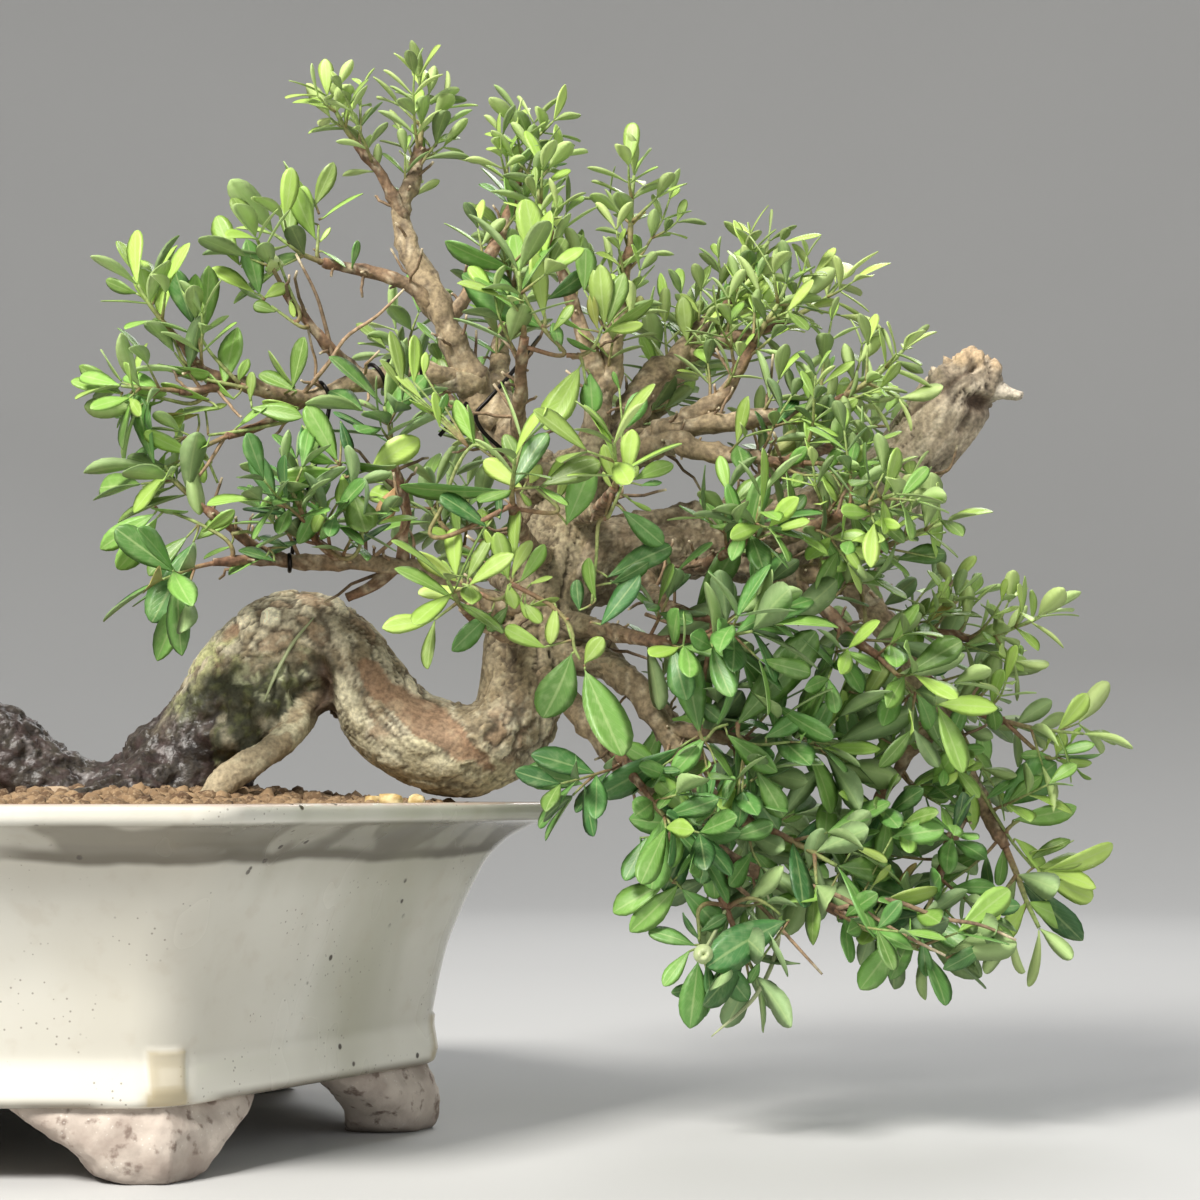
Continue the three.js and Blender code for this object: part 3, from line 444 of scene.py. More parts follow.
def hexagon(reach, rounding):
    """Points round a hexagon: corner arcs of a circle, and straight panels between them.

    reach and rounding are arrays of one number for each level; the answer is levels by points by 2.
    """
    corner = np.repeat(np.arange(CORNERS), ARC_STEPS + PANEL_STEPS) * SIXTH
    along = np.tile(np.arange(ARC_STEPS + PANEL_STEPS), CORNERS)
    on_arc = np.clip(along / ARC_STEPS, 0, 1)
    angle = corner + (on_arc - 0.5) * SIXTH
    share = np.clip((along - ARC_STEPS) / PANEL_STEPS, 0, 1)
    inner = (reach - rounding)[:, None]
    x = inner * (np.cos(corner) * (1 - share) + np.cos(corner + SIXTH) * share)
    y = inner * (np.sin(corner) * (1 - share) + np.sin(corner + SIXTH) * share)
    return np.stack([x + rounding[:, None] * np.cos(angle), y + rounding[:, None] * np.sin(angle)], axis=2)


# %% Glaze
glaze = Finish("cream_glaze", roughness=0.2, Coat_Weight=0.35, Coat_Roughness=0.12)
height = glaze.axis("Z")
cloud = glaze.noise(9.0, detail=3.0)
streak = glaze.noise(16.0, detail=3.0, stretch=(1.0, 1.0, 0.22), distortion=0.15)
fine = glaze.noise(140.0, detail=3.0)
body = glaze.mix(glaze.step(cloud, 0.36, 0.64), (0.60, 0.575, 0.495), (0.70, 0.685, 0.615))
body = glaze.mix(glaze.step(streak, 0.5, 0.72), body, (0.50, 0.49, 0.405))
body = glaze.mix(glaze.times(glaze.step(fine, 0.52, 0.75), 0.25), body, (0.50, 0.44, 0.35))
# The low band of the wall is painted lighter: a painted highlight where the wall kicks out at the base
painted_base_highlight = glaze.times(glaze.step(height, 0.036, 0.031), 0.75)
body = glaze.mix(painted_base_highlight, body, (0.80, 0.78, 0.69))
# Under the lip a shadow is painted, strongest on the front panel, with some grime in patches and pale stripes
# of painted light across it; a soft painted shade fades out below it. The base edge is darker in patches, and
# the glaze runs down in stains near some corners
stain = glaze.noise(22.0, detail=3.0, stretch=(1.0, 1.0, 0.4))
edge_height = glaze.math("ADD", height, glaze.times(glaze.math("SUBTRACT", stain, 0.5), 0.008))
under_lip = glaze.times(glaze.step(edge_height, 0.0872, 0.0892), glaze.step(height, 0.100, 0.0985))
from_middle = glaze.math("ABSOLUTE", glaze.axis("X"))
on_front = glaze.step(from_middle, 0.085, 0.06)
often = glaze.math("ADD", glaze.times(glaze.step(stain, 0.42, 0.62), 0.6), on_front)
lip_shadow_and_grime = glaze.times(under_lip, glaze.math("MINIMUM", often, 1.0))
# Pale stripes across the lip's painted shadow are painted light
streaks = glaze.patches(34.0, 0.52, 0.60, detail=2.0, stretch=(1.0, 1.0, 0.35))
low_rim = glaze.step(edge_height, 0.0925, 0.0900)
painted_light_stripes = glaze.times(streaks, glaze.math("SUBTRACT", 1.0, low_rim))
lip_shadow_and_grime = glaze.times(lip_shadow_and_grime, glaze.math("SUBTRACT", 1.0, glaze.times(painted_light_stripes, 0.55)))
lip_shadow_and_grime = glaze.times(lip_shadow_and_grime, glaze.math("ADD", 0.84, glaze.times(low_rim, 0.12)))
# The lip's painted shadow, with some grime, is laid on the glaze
body = glaze.mix(lip_shadow_and_grime, body, (0.075, 0.064, 0.043))
# A soft painted shade under the lip, fading out downwards
soft_shade = glaze.times(glaze.step(height, 0.076, 0.090), glaze.step(height, 0.100, 0.0985))
body = glaze.mix(glaze.times(soft_shade, 0.3), body, (0.24, 0.21, 0.15))
# The base edge is painted darker, in patches
base_edge = glaze.times(glaze.step(height, 0.0245, 0.0213), glaze.step(stain, 0.3, 0.5))
body = glaze.mix(glaze.times(base_edge, 0.85), body, (0.16, 0.13, 0.09))
run = glaze.patches(13.0, 0.60, 0.74, detail=2.0, stretch=(1.0, 1.0, 0.3))
body = glaze.mix(glaze.times(run, 0.55), body, (0.33, 0.32, 0.21))
# Worn clay shows along the inner edge of the lip
worn = glaze.times(glaze.step(height, 0.1035, 0.1045), glaze.step(fine, 0.3, 0.5))
body = glaze.mix(glaze.times(worn, 0.75), body, (0.60, 0.44, 0.36))
pit_cells = glaze.cells(150.0)
pits = glaze.times(glaze.step(pit_cells, 0.17, 0.09), glaze.patches(30.0, 0.56, 0.62, detail=1.0))
body = glaze.mix(pits, body, (0.07, 0.055, 0.04))
specks = glaze.times(glaze.step(glaze.cells(430.0), 0.17, 0.10), glaze.patches(48.0, 0.5, 0.58, detail=1.0))
body = glaze.mix(glaze.times(specks, 0.6), body, (0.16, 0.13, 0.10))
scratch_lines = glaze.cells(58.0, stretch=(1.0, 1.0, 0.26))
scratches = glaze.times(glaze.step(scratch_lines, 0.10, 0.05), glaze.patches(26.0, 0.59, 0.64, detail=1.0))
body = glaze.mix(scratches, body, (0.09, 0.07, 0.05))
# Where the glaze is thin over a tab's edges it turns to a yellowish tan
tab_thin, _, _ = glaze.tones()
body = glaze.mix(tab_thin, body, (0.47, 0.40, 0.26))
dull = glaze.math("ADD", 0.16, glaze.times(glaze.step(stain, 0.4, 0.8), 0.35))
relief = glaze.math("SUBTRACT", glaze.times(fine, 0.12), pits)
cream_glaze = glaze.finish(body, dull, relief, depth_mm=0.5, strength=0.5)


# %% Pot body
def make_pot_body():
    """Profile rows by hexagon columns; tabs are raised by a smooth square window round each corner."""
    lengths = np.linalg.norm(np.diff(POT_PROFILE[:, :2], axis=0), axis=1)
    counts = np.clip(np.ceil(lengths / 1.6), 2, 14).astype(int)
    profile = curve_through(POT_PROFILE, counts)[:-1]
    flat = hexagon(profile[:, 0], profile[:, 2])
    rows, columns = flat.shape[:2]
    z = np.broadcast_to(profile[:, 1, None], (rows, columns))
    points = np.stack([flat[..., 0], flat[..., 1], z], axis=2).reshape(-1, 3)
    outward = unit(points * (1, 1, 0))
    angle = np.arctan2(points[:, 1], points[:, 0])
    from_corner = (angle + SIXTH / 2) % SIXTH - SIXTH / 2
    aside = np.abs(np.hypot(points[:, 0], points[:, 1]) * np.sin(from_corner))
    row_number = np.repeat(np.arange(rows), columns)
    first_row, last_row = (counts[:row].sum() for row in OUTER_ROWS)
    is_wall = (row_number > first_row) & (row_number < last_row)
    window = (1 - smooth_step(TAB_HALF - 0.5, TAB_HALF + 0.5, aside)) * is_wall
    window = window * (1 - smooth_step(TAB_TOP - 0.5, TAB_TOP + 0.5, points[:, 2]))
    tab = window * smooth_step(TAB_BOTTOM - 2, TAB_BOTTOM + 1, points[:, 2])
    points = points + outward * (TAB_RELIEF * tab)[:, None]
    waves = 0.28 * noise(points / 38, seed=1) + 0.10 * noise(points / 9, seed=2)
    points = points + outward * (waves * is_wall)[:, None]
    drip = (1 - smooth_step(4, 9, aside)) * (1 - smooth_step(24, 27, points[:, 2])) * is_wall
    tones = np.zeros((len(points), 4))
    tones[:, 0] = np.clip(0.7 * window + 0.75 * drip, 0, 1) * (points[:, 2] > 21)
    faces = grid_faces(rows, columns, wrap_rows=True)[:, ::-1]
    make_piece("pot_body", points, [(faces, 0)], [cream_glaze], ("pot",), tones)


make_pot_body()

# %% [markdown]
# The feet. Each one is a cloud-shaped bracket bent round a corner, of bare, coarse clay with bright grains
# of sand. An outline is narrowed from level to level, down to a small flat sole, and the skin is roughened
# by noise. The clay was never glazed, so it is pinkish grey, and it is darker near the ground.

# %% Bare clay
clay = Finish("bare_clay", roughness=0.9)
patchy = clay.noise(60.0, detail=5.0)
earthy = clay.noise(220.0, detail=4.0)
clay_colour = clay.mix(clay.step(patchy, 0.35, 0.65), (0.36, 0.295, 0.25), (0.60, 0.525, 0.455))
clay_colour = clay.mix(clay.step(earthy, 0.55, 0.7), clay_colour, (0.22, 0.165, 0.135))
sand = clay.times(clay.step(clay.cells(760.0), 0.26, 0.14), clay.patches(120.0, 0.5, 0.62))
clay_colour = clay.mix(clay.times(sand, 0.6), clay_colour, (0.74, 0.70, 0.64))
# The clay is painted darker within a few millimetres of the ground
darker_near_ground = clay.times(clay.step(clay.axis("Z"), 0.006, 0.001), 0.5)
clay_colour = clay.mix(darker_near_ground, clay_colour, (0.17, 0.14, 0.12))
clay_relief = clay.math("ADD", earthy, clay.times(patchy, 0.8))
bare_clay = clay.finish(clay_colour, height=clay_relief, depth_mm=0.8, strength=0.7)

# %% Feet
FOOT_REACH = 133.0
FOOT_DEPTH = 19.0
# Half the run along each panel, height, and how far the face stands out, from the sole up
FOOT_LEVELS = [
    (12.4, 0.0, -2.4), (15, 0.7, -1.2), (19, 2.5, 0), (21.5, 6, 1), (27.5, 10, 1.2), (31.5, 12.6, 0.7),
    (36, 15.5, 0), (39.5, 18.6, -1.5), (41, 20.6, -2.6), (40, 22.4, -3.4),
]


def make_feet():
    """Levels by outline: an outline of eight points bent round the corner, smoothed, then roughened."""
    levels = curve_through(FOOT_LEVELS, 3)
    half, z, stand_out = (levels[:, k, None] for k in range(3))
    side = np.array([-1, -1, -1, 1, 1, 1, 1, 1, -1, -1])
    run = half * np.array([0.86, 0.45, 0.09, 0.09, 0.45, 0.86, 1, 0.69, 0.69, 1])
    inset = FOOT_DEPTH * np.array([0, 0, 0, 0, 0, 0, 0.35, 1, 1, 0.35])
    turn = side * SIXTH * 2
    outline = np.stack([
        FOOT_REACH + stand_out - inset / math.cos(SIXTH / 2) + run * np.cos(turn), run * np.sin(turn),
    ], axis=2)
    rings = np.stack([curve_through(ring, 6, closed=True) for ring in outline])
    rows, columns = rings.shape[:2]
    foot = np.dstack([rings, np.broadcast_to(z, (rows, columns))]).reshape(-1, 3)
    foot = np.concatenate([foot, [foot[:columns].mean(0), foot[-columns:].mean(0)]])
    faces, fans = grid_faces(rows, columns), end_fans(rows, columns)
    points, quads, caps = [], [], []
    for corner in range(CORNERS):
        c, s = math.cos(corner * SIXTH), math.sin(corner * SIXTH)
        turned = foot @ np.array([[c, s, 0], [-s, c, 0], [0, 0, 1]])
        middle = turned[-2:].mean(0)
        bumps = 0.9 * rough(turned / 7, 3, seed=3) + 0.35 * rough(turned / 1.8, 2, seed=8)
        bumps = bumps * smooth_step(0, 2, turned[:, 2])
        turned = turned + unit((turned - middle) * (1, 1, 0)) * bumps[:, None]
        points.append(turned)
        quads.append(faces + corner * len(foot))
        caps.append(fans + corner * len(foot))
    part = tuple(np.concatenate(pieces) for pieces in (points, quads, caps))
    make_part("pot_feet", part, bare_clay, ("pot",))


make_feet()

# %% [markdown]
# The soil: grains of baked clay, 4 to 6 mm across. A bed carries the low mound of the surface, and on it
# lies one layer of grains, each its own small lump with a few dozen faces, set on a jittered grid so that
# they cover the bed. Grains are darker where the trunk keeps them wet.

# %% Baked clay
baked = Finish("baked_clay", roughness=0.95)
grain_tone, grain_wet, _ = baked.tones()
crumb = baked.noise(900.0, detail=2.0)
dusty = baked.mix(grain_tone, (0.075, 0.038, 0.018), (0.33, 0.215, 0.115))
dusty = baked.mix(baked.step(crumb, 0.45, 0.85), dusty, (0.42, 0.30, 0.18))
dusty = baked.mix(grain_wet, dusty, (0.060, 0.034, 0.024))
baked_clay = baked.finish(dusty, height=crumb, depth_mm=0.35, strength=0.6)

# %% Soil
SOIL_LEVEL = 102.2
SOIL_REACH = 136.0
GRAINS_REACH = 135.2
BED_UNDER = 1.9  # the bed lies this far below the soil's level, and the grains' middles less far
GRAINS_UNDER = 0.8
MOUND = 7.0
MOUND_X = 40.0
MOUND_SPREAD = 65.0
BED_FLOOR = 32.2
BED_RINGS = 40
GRAIN_PITCH = 4.25
GRAIN_SIDE = 3  # points along each edge of a grain's cube
GRAIN_RELIEF = 0.28


def soil_height(x, y):
    """A level bed with a round hill, shaped like a bell, where the trunk leaves the ground."""
    hill = MOUND * np.exp(-((x - MOUND_X) ** 2 + y**2) / MOUND_SPREAD**2)
    edge = smooth_step(0, 14, SOIL_REACH - hexagon_distance(x, y))
    return SOIL_LEVEL + hill * edge - 2.2 * (1 - edge)


def hexagon_distance(x, y):
    """The largest distance from the middle along the three directions that panels face."""
    facing = SIXTH / 2 + np.arange(CORNERS) * SIXTH
    return np.max(x[..., None] * np.cos(facing) + y[..., None] * np.sin(facing), axis=-1)


def make_soil_bed():
    """Rings of a hexagon: down the wall and across the floor, then over the top in to the middle."""
    wall = [(117, BED_FLOOR), (119, 34), (125, 57), (135.4, 82.5), (143.5, 91), (155.5, 97.5)]
    reach = np.concatenate([[30, 90], [row[0] for row in wall], np.linspace(154, 2, BED_RINGS)])
    low = np.concatenate([[BED_FLOOR, BED_FLOOR], [row[1] for row in wall], np.zeros(BED_RINGS)])
    flat = hexagon(reach, np.clip(reach * 0.12, 1, 14))
    rows, columns = flat.shape[:2]
    top = soil_height(flat[..., 0], flat[..., 1]) - BED_UNDER
    z = np.where(low[:, None] > 0, low[:, None], top)
    points = np.dstack([flat, z]).reshape(-1, 3)
    is_top = np.repeat(low == 0, columns)
    points[:, 2] += np.where(is_top, 0.8 * noise(points / 4.5, seed=4), 0)
    points = np.concatenate([points, [[0, 0, BED_FLOOR], [0, 0, SOIL_LEVEL]]])
    tones = np.full((len(points), 4), 0.25)
    part = (points, grid_faces(rows, columns), end_fans(rows, columns))
    make_part("soil_bed", part, baked_clay, ("soil",), tones)


def lump_template(side):
    """A cube's grid blown up to a ball: unit points, and faces that point outwards."""
    at = np.linspace(-1, 1, side)
    spots, faces = {}, []
    for axis in range(3):
        for end in (-1, 1):
            names = []
            for a in at:
                for b in at:
                    spot = [0.0, 0.0, 0.0]
                    spot[axis], spot[(axis + 1) % 3], spot[(axis + 2) % 3] = end, a, b
                    names.append(spots.setdefault(tuple(spot), len(spots)))
            names = np.array(names).reshape(side, side)
            quad = np.stack([names[:-1, :-1], names[1:, :-1], names[1:, 1:], names[:-1, 1:]], axis=2)
            quad = quad.reshape(-1, 4)
            faces.append(quad if end > 0 else quad[:, ::-1])
    cube = np.array(list(spots))
    bulge = 0.75 + 0.25 * np.linalg.norm(cube, axis=1, keepdims=True) / 1.73
    return unit(cube) * bulge, np.concatenate(faces)


def scatter_lumps(centres, sizes, seed):
    """Copies of a lump: each is turned, stretched and dented at random, then moved to its centre."""
    random = np.random.default_rng(seed)
    ball, faces = lump_template(GRAIN_SIDE)
    count = len(centres)
    axes = unit(random.normal(size=(count, 3, 3)))
    first = axes[:, 0]
    second = unit(np.cross(first, axes[:, 1]))
    turn = np.stack([first, second, np.cross(first, second)], axis=1)
    stretch = sizes[:, None] * random.uniform(0.75, 1.2, (count, 3)) / 2
    local = ball[None] * stretch[:, None, :]
    dents = noise((ball[None] * 1.3 + random.uniform(0, 500, (count, 1, 3))).reshape(-1, 3), seed)
    local = local * (1 + GRAIN_RELIEF * dents.reshape(count, -1, 1))
    points = np.einsum("nkj,nji->nki", local, turn) + centres[:, None, :]
    numbers = faces[None] + (np.arange(count) * len(ball))[:, None, None]
    return points.reshape(-1, 3), numbers.reshape(-1, 4), len(ball)


def make_soil_grains():
    """A grid of staggered rows, jittered, kept inside the lip and off the trunk's foot."""
    random = np.random.default_rng(11)
    lines = np.arange(-160, 160, GRAIN_PITCH * math.cos(SIXTH / 2))
    steps = np.arange(-165, 165, GRAIN_PITCH)
    y, x = np.meshgrid(lines, steps, indexing="ij")
    x = x + (np.arange(len(lines)) % 2)[:, None] * GRAIN_PITCH / 2
    spots = np.stack([x.ravel(), y.ravel()], axis=1)
    spots += random.uniform(-1.3, 1.3, spots.shape)
    spots = spots[hexagon_distance(spots[:, 0], spots[:, 1]) < GRAINS_REACH]
    sizes = random.uniform(3.9, 6.2, len(spots))
    lift = random.uniform(-0.9, 1.0, len(spots))
    z = soil_height(spots[:, 0], spots[:, 1]) - GRAINS_UNDER + lift
    centres = np.column_stack([spots, z])
    points, faces, each = scatter_lumps(centres, sizes, seed=12)
    tones = np.zeros((len(spots), 4))
    tones[:, 0] = random.beta(2, 1.6, len(spots))
    near = np.hypot((spots[:, 0] - 10) / 60, spots[:, 1] / 30)
    tones[:, 1] = 0.55 * (1 - smooth_step(0.5, 1.1, near)) * random.uniform(0.2, 1, len(spots))
    tones = np.repeat(tones, each, axis=0)
    make_piece("soil_grains", points, [(faces, 0)], [baked_clay], ("soil",), tones)


make_soil_bed()
make_soil_grains()

# %% [markdown]
# Three pale stones lie at the right of the pot, and a chip of bark at the left. They are the same kind of
# lump as a grain, with more faces, and they take the places of the plain ones in the frame. The net under
# the drain hole is never seen, so the frame's own piece stays, and only gets its finish.

# %% Stones, bark chip and net
pale = Finish("pale_stone", roughness=0.85)
pale_tint = pale.noise(260.0, detail=4.0)
pale_colour = pale.mix(pale.step(pale_tint, 0.35, 0.7), (0.44, 0.29, 0.10), (0.80, 0.66, 0.36))
pale_stone = pale.finish(pale_colour, height=pale_tint, depth_mm=0.5)
old_chip = speckled(
    "old_chip", (0.26, 0.17, 0.10), (0.66, 0.52, 0.36), 300.0, 0.5, stretch=(0.3, 1.0, 1.0), roughness=0.9,
)


def make_stone(node, material, seed):
    """One lump that fills the box of the plain stone, dented by noise."""
    low, high = (np.array(corner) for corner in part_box(node))
    ball, faces = lump_template(7)
    middle = ((low + high) / 2 - POT_MIDDLE) / MM
    half = (high - low) / 2 / MM
    dents = 1 + 0.16 * rough(ball * 1.5 + seed, 3, seed)
    points = middle + ball * half * dents[:, None]
    make_piece(f"{node}_fine", points, [(faces, 0)], [material], (node,))


for seed, node in enumerate(("stone_a", "stone_b", "stone_c")):
    make_stone(node, pale_stone, seed)
make_stone("bark_chip", old_chip, 5)

net_plastic = speckled("net_plastic", (0.012, 0.03, 0.02), (0.03, 0.06, 0.04), 400.0, 0.1, roughness=0.55)
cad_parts["drain_net"].data.materials.clear()
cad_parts["drain_net"].data.materials.append(net_plastic)

# %% [markdown]
# The wood. The trunk comes out of the soil at the left, makes an arch, sinks to the rim and turns up into
# the crown. Thick roots, a thin root that stands free, and the heavy dead limb belong to it. Each is a
# tube along a smooth line, and they are the same lines as the frame's. Voxel remeshing melts the tubes
# into one skin, as wood that grew together, and relaxing the skin rounds the creases where they meet.

# %% Lines of the wood: x, depth, z and radius
TRUNK_LINE = [
    (36, 2, 88, 25), (49, 1, 110, 20.5), (60, 0, 130, 17.5), (70, -1, 147, 17.5), (83, -1, 157.5, 16.5),
    (95, -2, 154.5, 15.5), (105.5, -3, 144, 14.5), (116, -4, 131.5, 14.8), (129, -5, 123.5, 14.8),
    (143, -4, 121.8, 14.6), (154.5, -2, 128.5, 14.2), (159.5, 0, 141, 13.8), (161.5, 2, 155, 13.5),
    (166, 4, 170, 13), (171, 6, 186, 12), (175, 8, 203, 10.5), (178, 8, 219, 7),
]
ROOT_LINES = [
    [(48, 2, 116, 18), (36, 3, 108, 15), (22, 3, 104, 13), (8, 2, 107, 13.2), (-10, 2, 120.5, 13.5),
     (-28, 4, 125, 14), (-46, 6, 112, 12), (-60, 8, 94, 9)],
    [(92, -8, 136, 5.5), (86, -17, 129, 5), (79, -25, 122, 4.6), (70, -30, 116.5, 4.8), (62, -33, 111, 5),
     (54, -36, 97, 5)],
    [(44, -6, 112, 13), (30, -22, 106, 9), (14, -38, 101, 6.5), (0, -48, 92, 5)],
    [(50, 8, 116, 14), (58, 26, 108, 9.5), (70, 44, 101, 7), (80, 56, 92, 5)],
    [(-28, 6, 122, 9), (-40, 22, 108, 7), (-52, 36, 96, 5)],
    [(-30, 0, 120, 8), (-46, -14, 107, 6.5), (-60, -26, 95, 5)],
    [(75, -5, 146, 15), (73, -10, 134, 13), (66, -10, 121, 10)],
]
DEAD_LIMB_LINE = [
    (170, 6, 172, 11), (183, 8, 182, 12), (197, 10, 187, 12.5), (215, 14, 190, 12), (240, 18, 190, 13),
    (258, 19, 196, 12.5), (275, 17, 206, 12), (288, 15, 219, 12), (298, 13, 232, 12.5), (306, 12, 242, 11),
    (312, 12, 251, 7),
]
DEAD_SPURS = [
    [(306, 10, 238, 4.8), (318, 9, 239.5, 2.6), (325, 8, 238, 2)],
    [(284, 10, 207, 5), (291, 0, 200, 3), (295, -6, 197, 1.6)],
]
# Living limbs: first radius, last radius, then points of x, depth and z
LIMBS = {
    "apex": (7, 1.7, (168, 7, 208), (157, 3, 222), (146, -1, 238), (137, -4, 255), (127, -4, 278),
             (119, 0, 300), (123, 2, 312), (125, 3, 322)),
    "apex_left": (2.4, 1.4, (120, -1, 298), (112, -5, 312), (104, -8, 323)),
    "apex_right": (2.6, 1.3, (134, -4, 262), (146, -2, 282), (154, 0, 298), (158, 2, 310)),
    "upper_left": (2.8, 1.4, (131, -4, 265), (120, -8, 276), (106, -12, 280), (93, -16, 283)),
    "mid_left": (3.8, 1.4, (146, -1, 241), (125, -8, 246), (104, -17, 243), (88, -22, 238), (66, -30, 243),
                 (54, -34, 247), (45, -37, 258)),
    "mid_left_tip": (1.8, 1.2, (64, -31, 243), (54, -36, 240), (46, -40, 240)),
    "mid_left_rise": (2.2, 1.2, (107, -16, 244), (94, -24, 256), (84, -28, 268), (79, -30, 276)),
    "mid_left_low": (2, 1.2, (88, -22, 237), (74, -28, 229), (62, -33, 225)),
    "arch": (4.2, 1.3, (163, 0, 166), (150, -8, 170), (136, -14, 175), (120, -20, 182), (100, -26, 184),
             (80, -30, 184), (66, -36, 193), (55, -39, 201)),
    "arch_low": (2, 1.2, (80, -30, 184), (68, -40, 184), (58, -46, 183)),
    "arch_inner": (1.8, 1.2, (100, -26, 184), (92, -36, 190), (88, -44, 196)),
    "arch_stub": (2.2, 1.6, (118, -20, 182), (110, -23, 175), (102, -25, 171.5)),
    "arch_rise": (2, 1.2, (120, -20, 182), (121, -26, 200), (117, -32, 216)),
    "front_low": (3, 1.4, (160, -2, 158), (148, -32, 162), (140, -52, 168)),
    "front_mid": (3.2, 1.4, (166, -6, 184), (160, -32, 192), (156, -54, 202)),
    "front_high": (3.2, 1.4, (178, -2, 200), (184, -30, 200), (190, -54, 208)),
    "front_top": (3.4, 1.4, (160, -2, 216), (158, -28, 236), (160, -44, 258)),
    "upright": (5.2, 1.6, (180, 6, 212), (186, 3, 238), (191, 0, 262), (195, -2, 288)),
    "upright_left": (3, 1.4, (187, 3, 240), (178, -2, 262), (172, -5, 280), (168, -6, 294)),
    "right_rise": (7.5, 1.7, (178, 8, 210), (190, 10, 224), (201, 12, 241), (214, 16, 255), (228, 18, 270)),
    "right_rise_out": (3, 1.4, (212, 15, 252), (230, 16, 258), (248, 16, 264)),
    "right_mid": (5, 1.6, (188, 10, 216), (205, 4, 226), (224, 0, 238), (236, -4, 256)),
    "right_long": (4, 1.5, (203, 4, 226), (226, -4, 230), (250, -8, 232), (266, -12, 238)),
    "right_low": (4.6, 1.4, (186, 6, 213), (208, -6, 222), (232, -14, 218), (252, -20, 216)),
    "stub_front": (3.4, 1.4, (232, 6, 188), (252, -22, 194), (268, -42, 200)),
    "low_front": (3.4, 1.2, (168, -4, 164), (186, -16, 161), (202, -30, 158), (216, -40, 158)),
    "low_mid": (3, 1.2, (197, 5, 180), (208, -20, 168), (222, -34, 164)),
    "cascade_a": (5, 1.8, (168, 0, 153), (190, -8, 148), (205, -14, 130), (214, -18, 114), (226, -22, 102),
                  (240, -24, 96)),
    "cascade_a_fork": (3, 1.4, (206, -14, 128), (222, -18, 126), (240, -20, 124)),
    "cascade_b": (4.6, 1.6, (162, -6, 148), (175, -14, 138), (195, -22, 115), (210, -26, 99), (222, -30, 84),
                  (226, -34, 70)),
    "cascade_in": (2.4, 1.3, (184, -17, 128), (193, -30, 118), (199, -38, 109)),
    "cascade_b_out": (2.4, 1.3, (214, -28, 94), (236, -26, 82), (256, -24, 72), (272, -24, 64)),
    "heavy_front": (2.6, 1.3, (214, 6, 180), (222, -20, 184), (232, -38, 190)),
    "shoot": (4, 1.5, (232, 8, 184), (246, -4, 178), (262, -12, 181), (278, -18, 188)),
    "shoot_low": (2.6, 1.3, (248, -5, 178), (262, -14, 164), (276, -20, 152)),
    "right_down": (5.5, 1.8, (256, 20, 192), (272, 22, 172), (286, 20, 150), (299, 16, 126), (309, 12, 106),
                   (317, 8, 90)),
    "right_down_high": (2.8, 1.3, (276, 22, 166), (292, 16, 160), (306, 12, 158)),
    "right_down_mid": (2.8, 1.3, (292, 18, 140), (305, 14, 135), (317, 10, 131)),
    "right_down_in": (2.8, 1.3, (296, 17, 132), (282, 10, 114), (273, 4, 100)),
    "right_down_low": (2.4, 1.3, (308, 14, 110), (299, 6, 92), (295, -2, 80)),
    "back_low": (4.2, 1.5, (163, 8, 164), (158, 34, 172), (146, 58, 182), (136, 72, 192)),
    "back_left": (4.6, 1.5, (168, 10, 192), (158, 34, 210), (144, 54, 228), (130, 66, 242)),
    "back_top": (4, 1.5, (152, 4, 232), (152, 26, 254), (156, 42, 274)),
    "back_mid": (5, 1.6, (178, 12, 206), (192, 36, 222), (208, 56, 238), (220, 68, 254)),
    "back_right": (5, 1.6, (220, 20, 192), (232, 42, 204), (246, 60, 214), (262, 70, 222)),
    "back_far": (4.4, 1.5, (258, 22, 190), (268, 42, 174), (280, 58, 160), (290, 68, 148)),
    "back_cascade": (4.4, 1.5, (171, 8, 169), (194, 34, 146), (212, 50, 126), (228, 58, 106)),
}


# %% Lines and tubes
def limb_line(points, at):
    """Points on a limb's line, at shares from 0 to 1 of its spans: a centripetal Catmull-Rom curve.

    Each span is a cubic whose end slopes weigh the neighbouring chords by the square roots of their
    lengths, so a short span never overshoots.
    """
    points = np.asarray(points, float)
    count = len(points)
    padded = np.concatenate([[2 * points[0] - points[1]], points, [2 * points[-1] - points[-2]]])
    place = np.asarray(at, float) * (count - 1)
    span = np.clip(np.floor(place).astype(int), 0, count - 2)
    t = (place - span)[:, None]
    p0, p1, p2, p3 = (padded[span + k] for k in range(4))
    chords = (p1 - p0, p2 - p1, p3 - p2)
    d0, d1, d2 = (np.linalg.norm(chord, axis=1, keepdims=True) ** 0.5 for chord in chords)
    leave = ((p1 - p0) / d0 - (p2 - p0) / (d0 + d1) + (p2 - p1) / d1) * d1
    reach = ((p2 - p1) / d1 - (p3 - p1) / (d1 + d2) + (p3 - p2) / d2) * d1
    return (
        p1 + leave * t + (3 * (p2 - p1) - 2 * leave - reach) * t**2
        + (2 * (p1 - p2) + leave + reach) * t**3
    )


def frames(path):
    """Tangents of a path, and two directions square to them, taken from the path's flattest direction."""
    tangent = unit(np.gradient(path, axis=0))
    flat = np.linalg.svd(path - path.mean(0))[2][2]
    across = unit(flat - tangent * (tangent @ flat)[:, None])
    return tangent, across, np.cross(tangent, across)


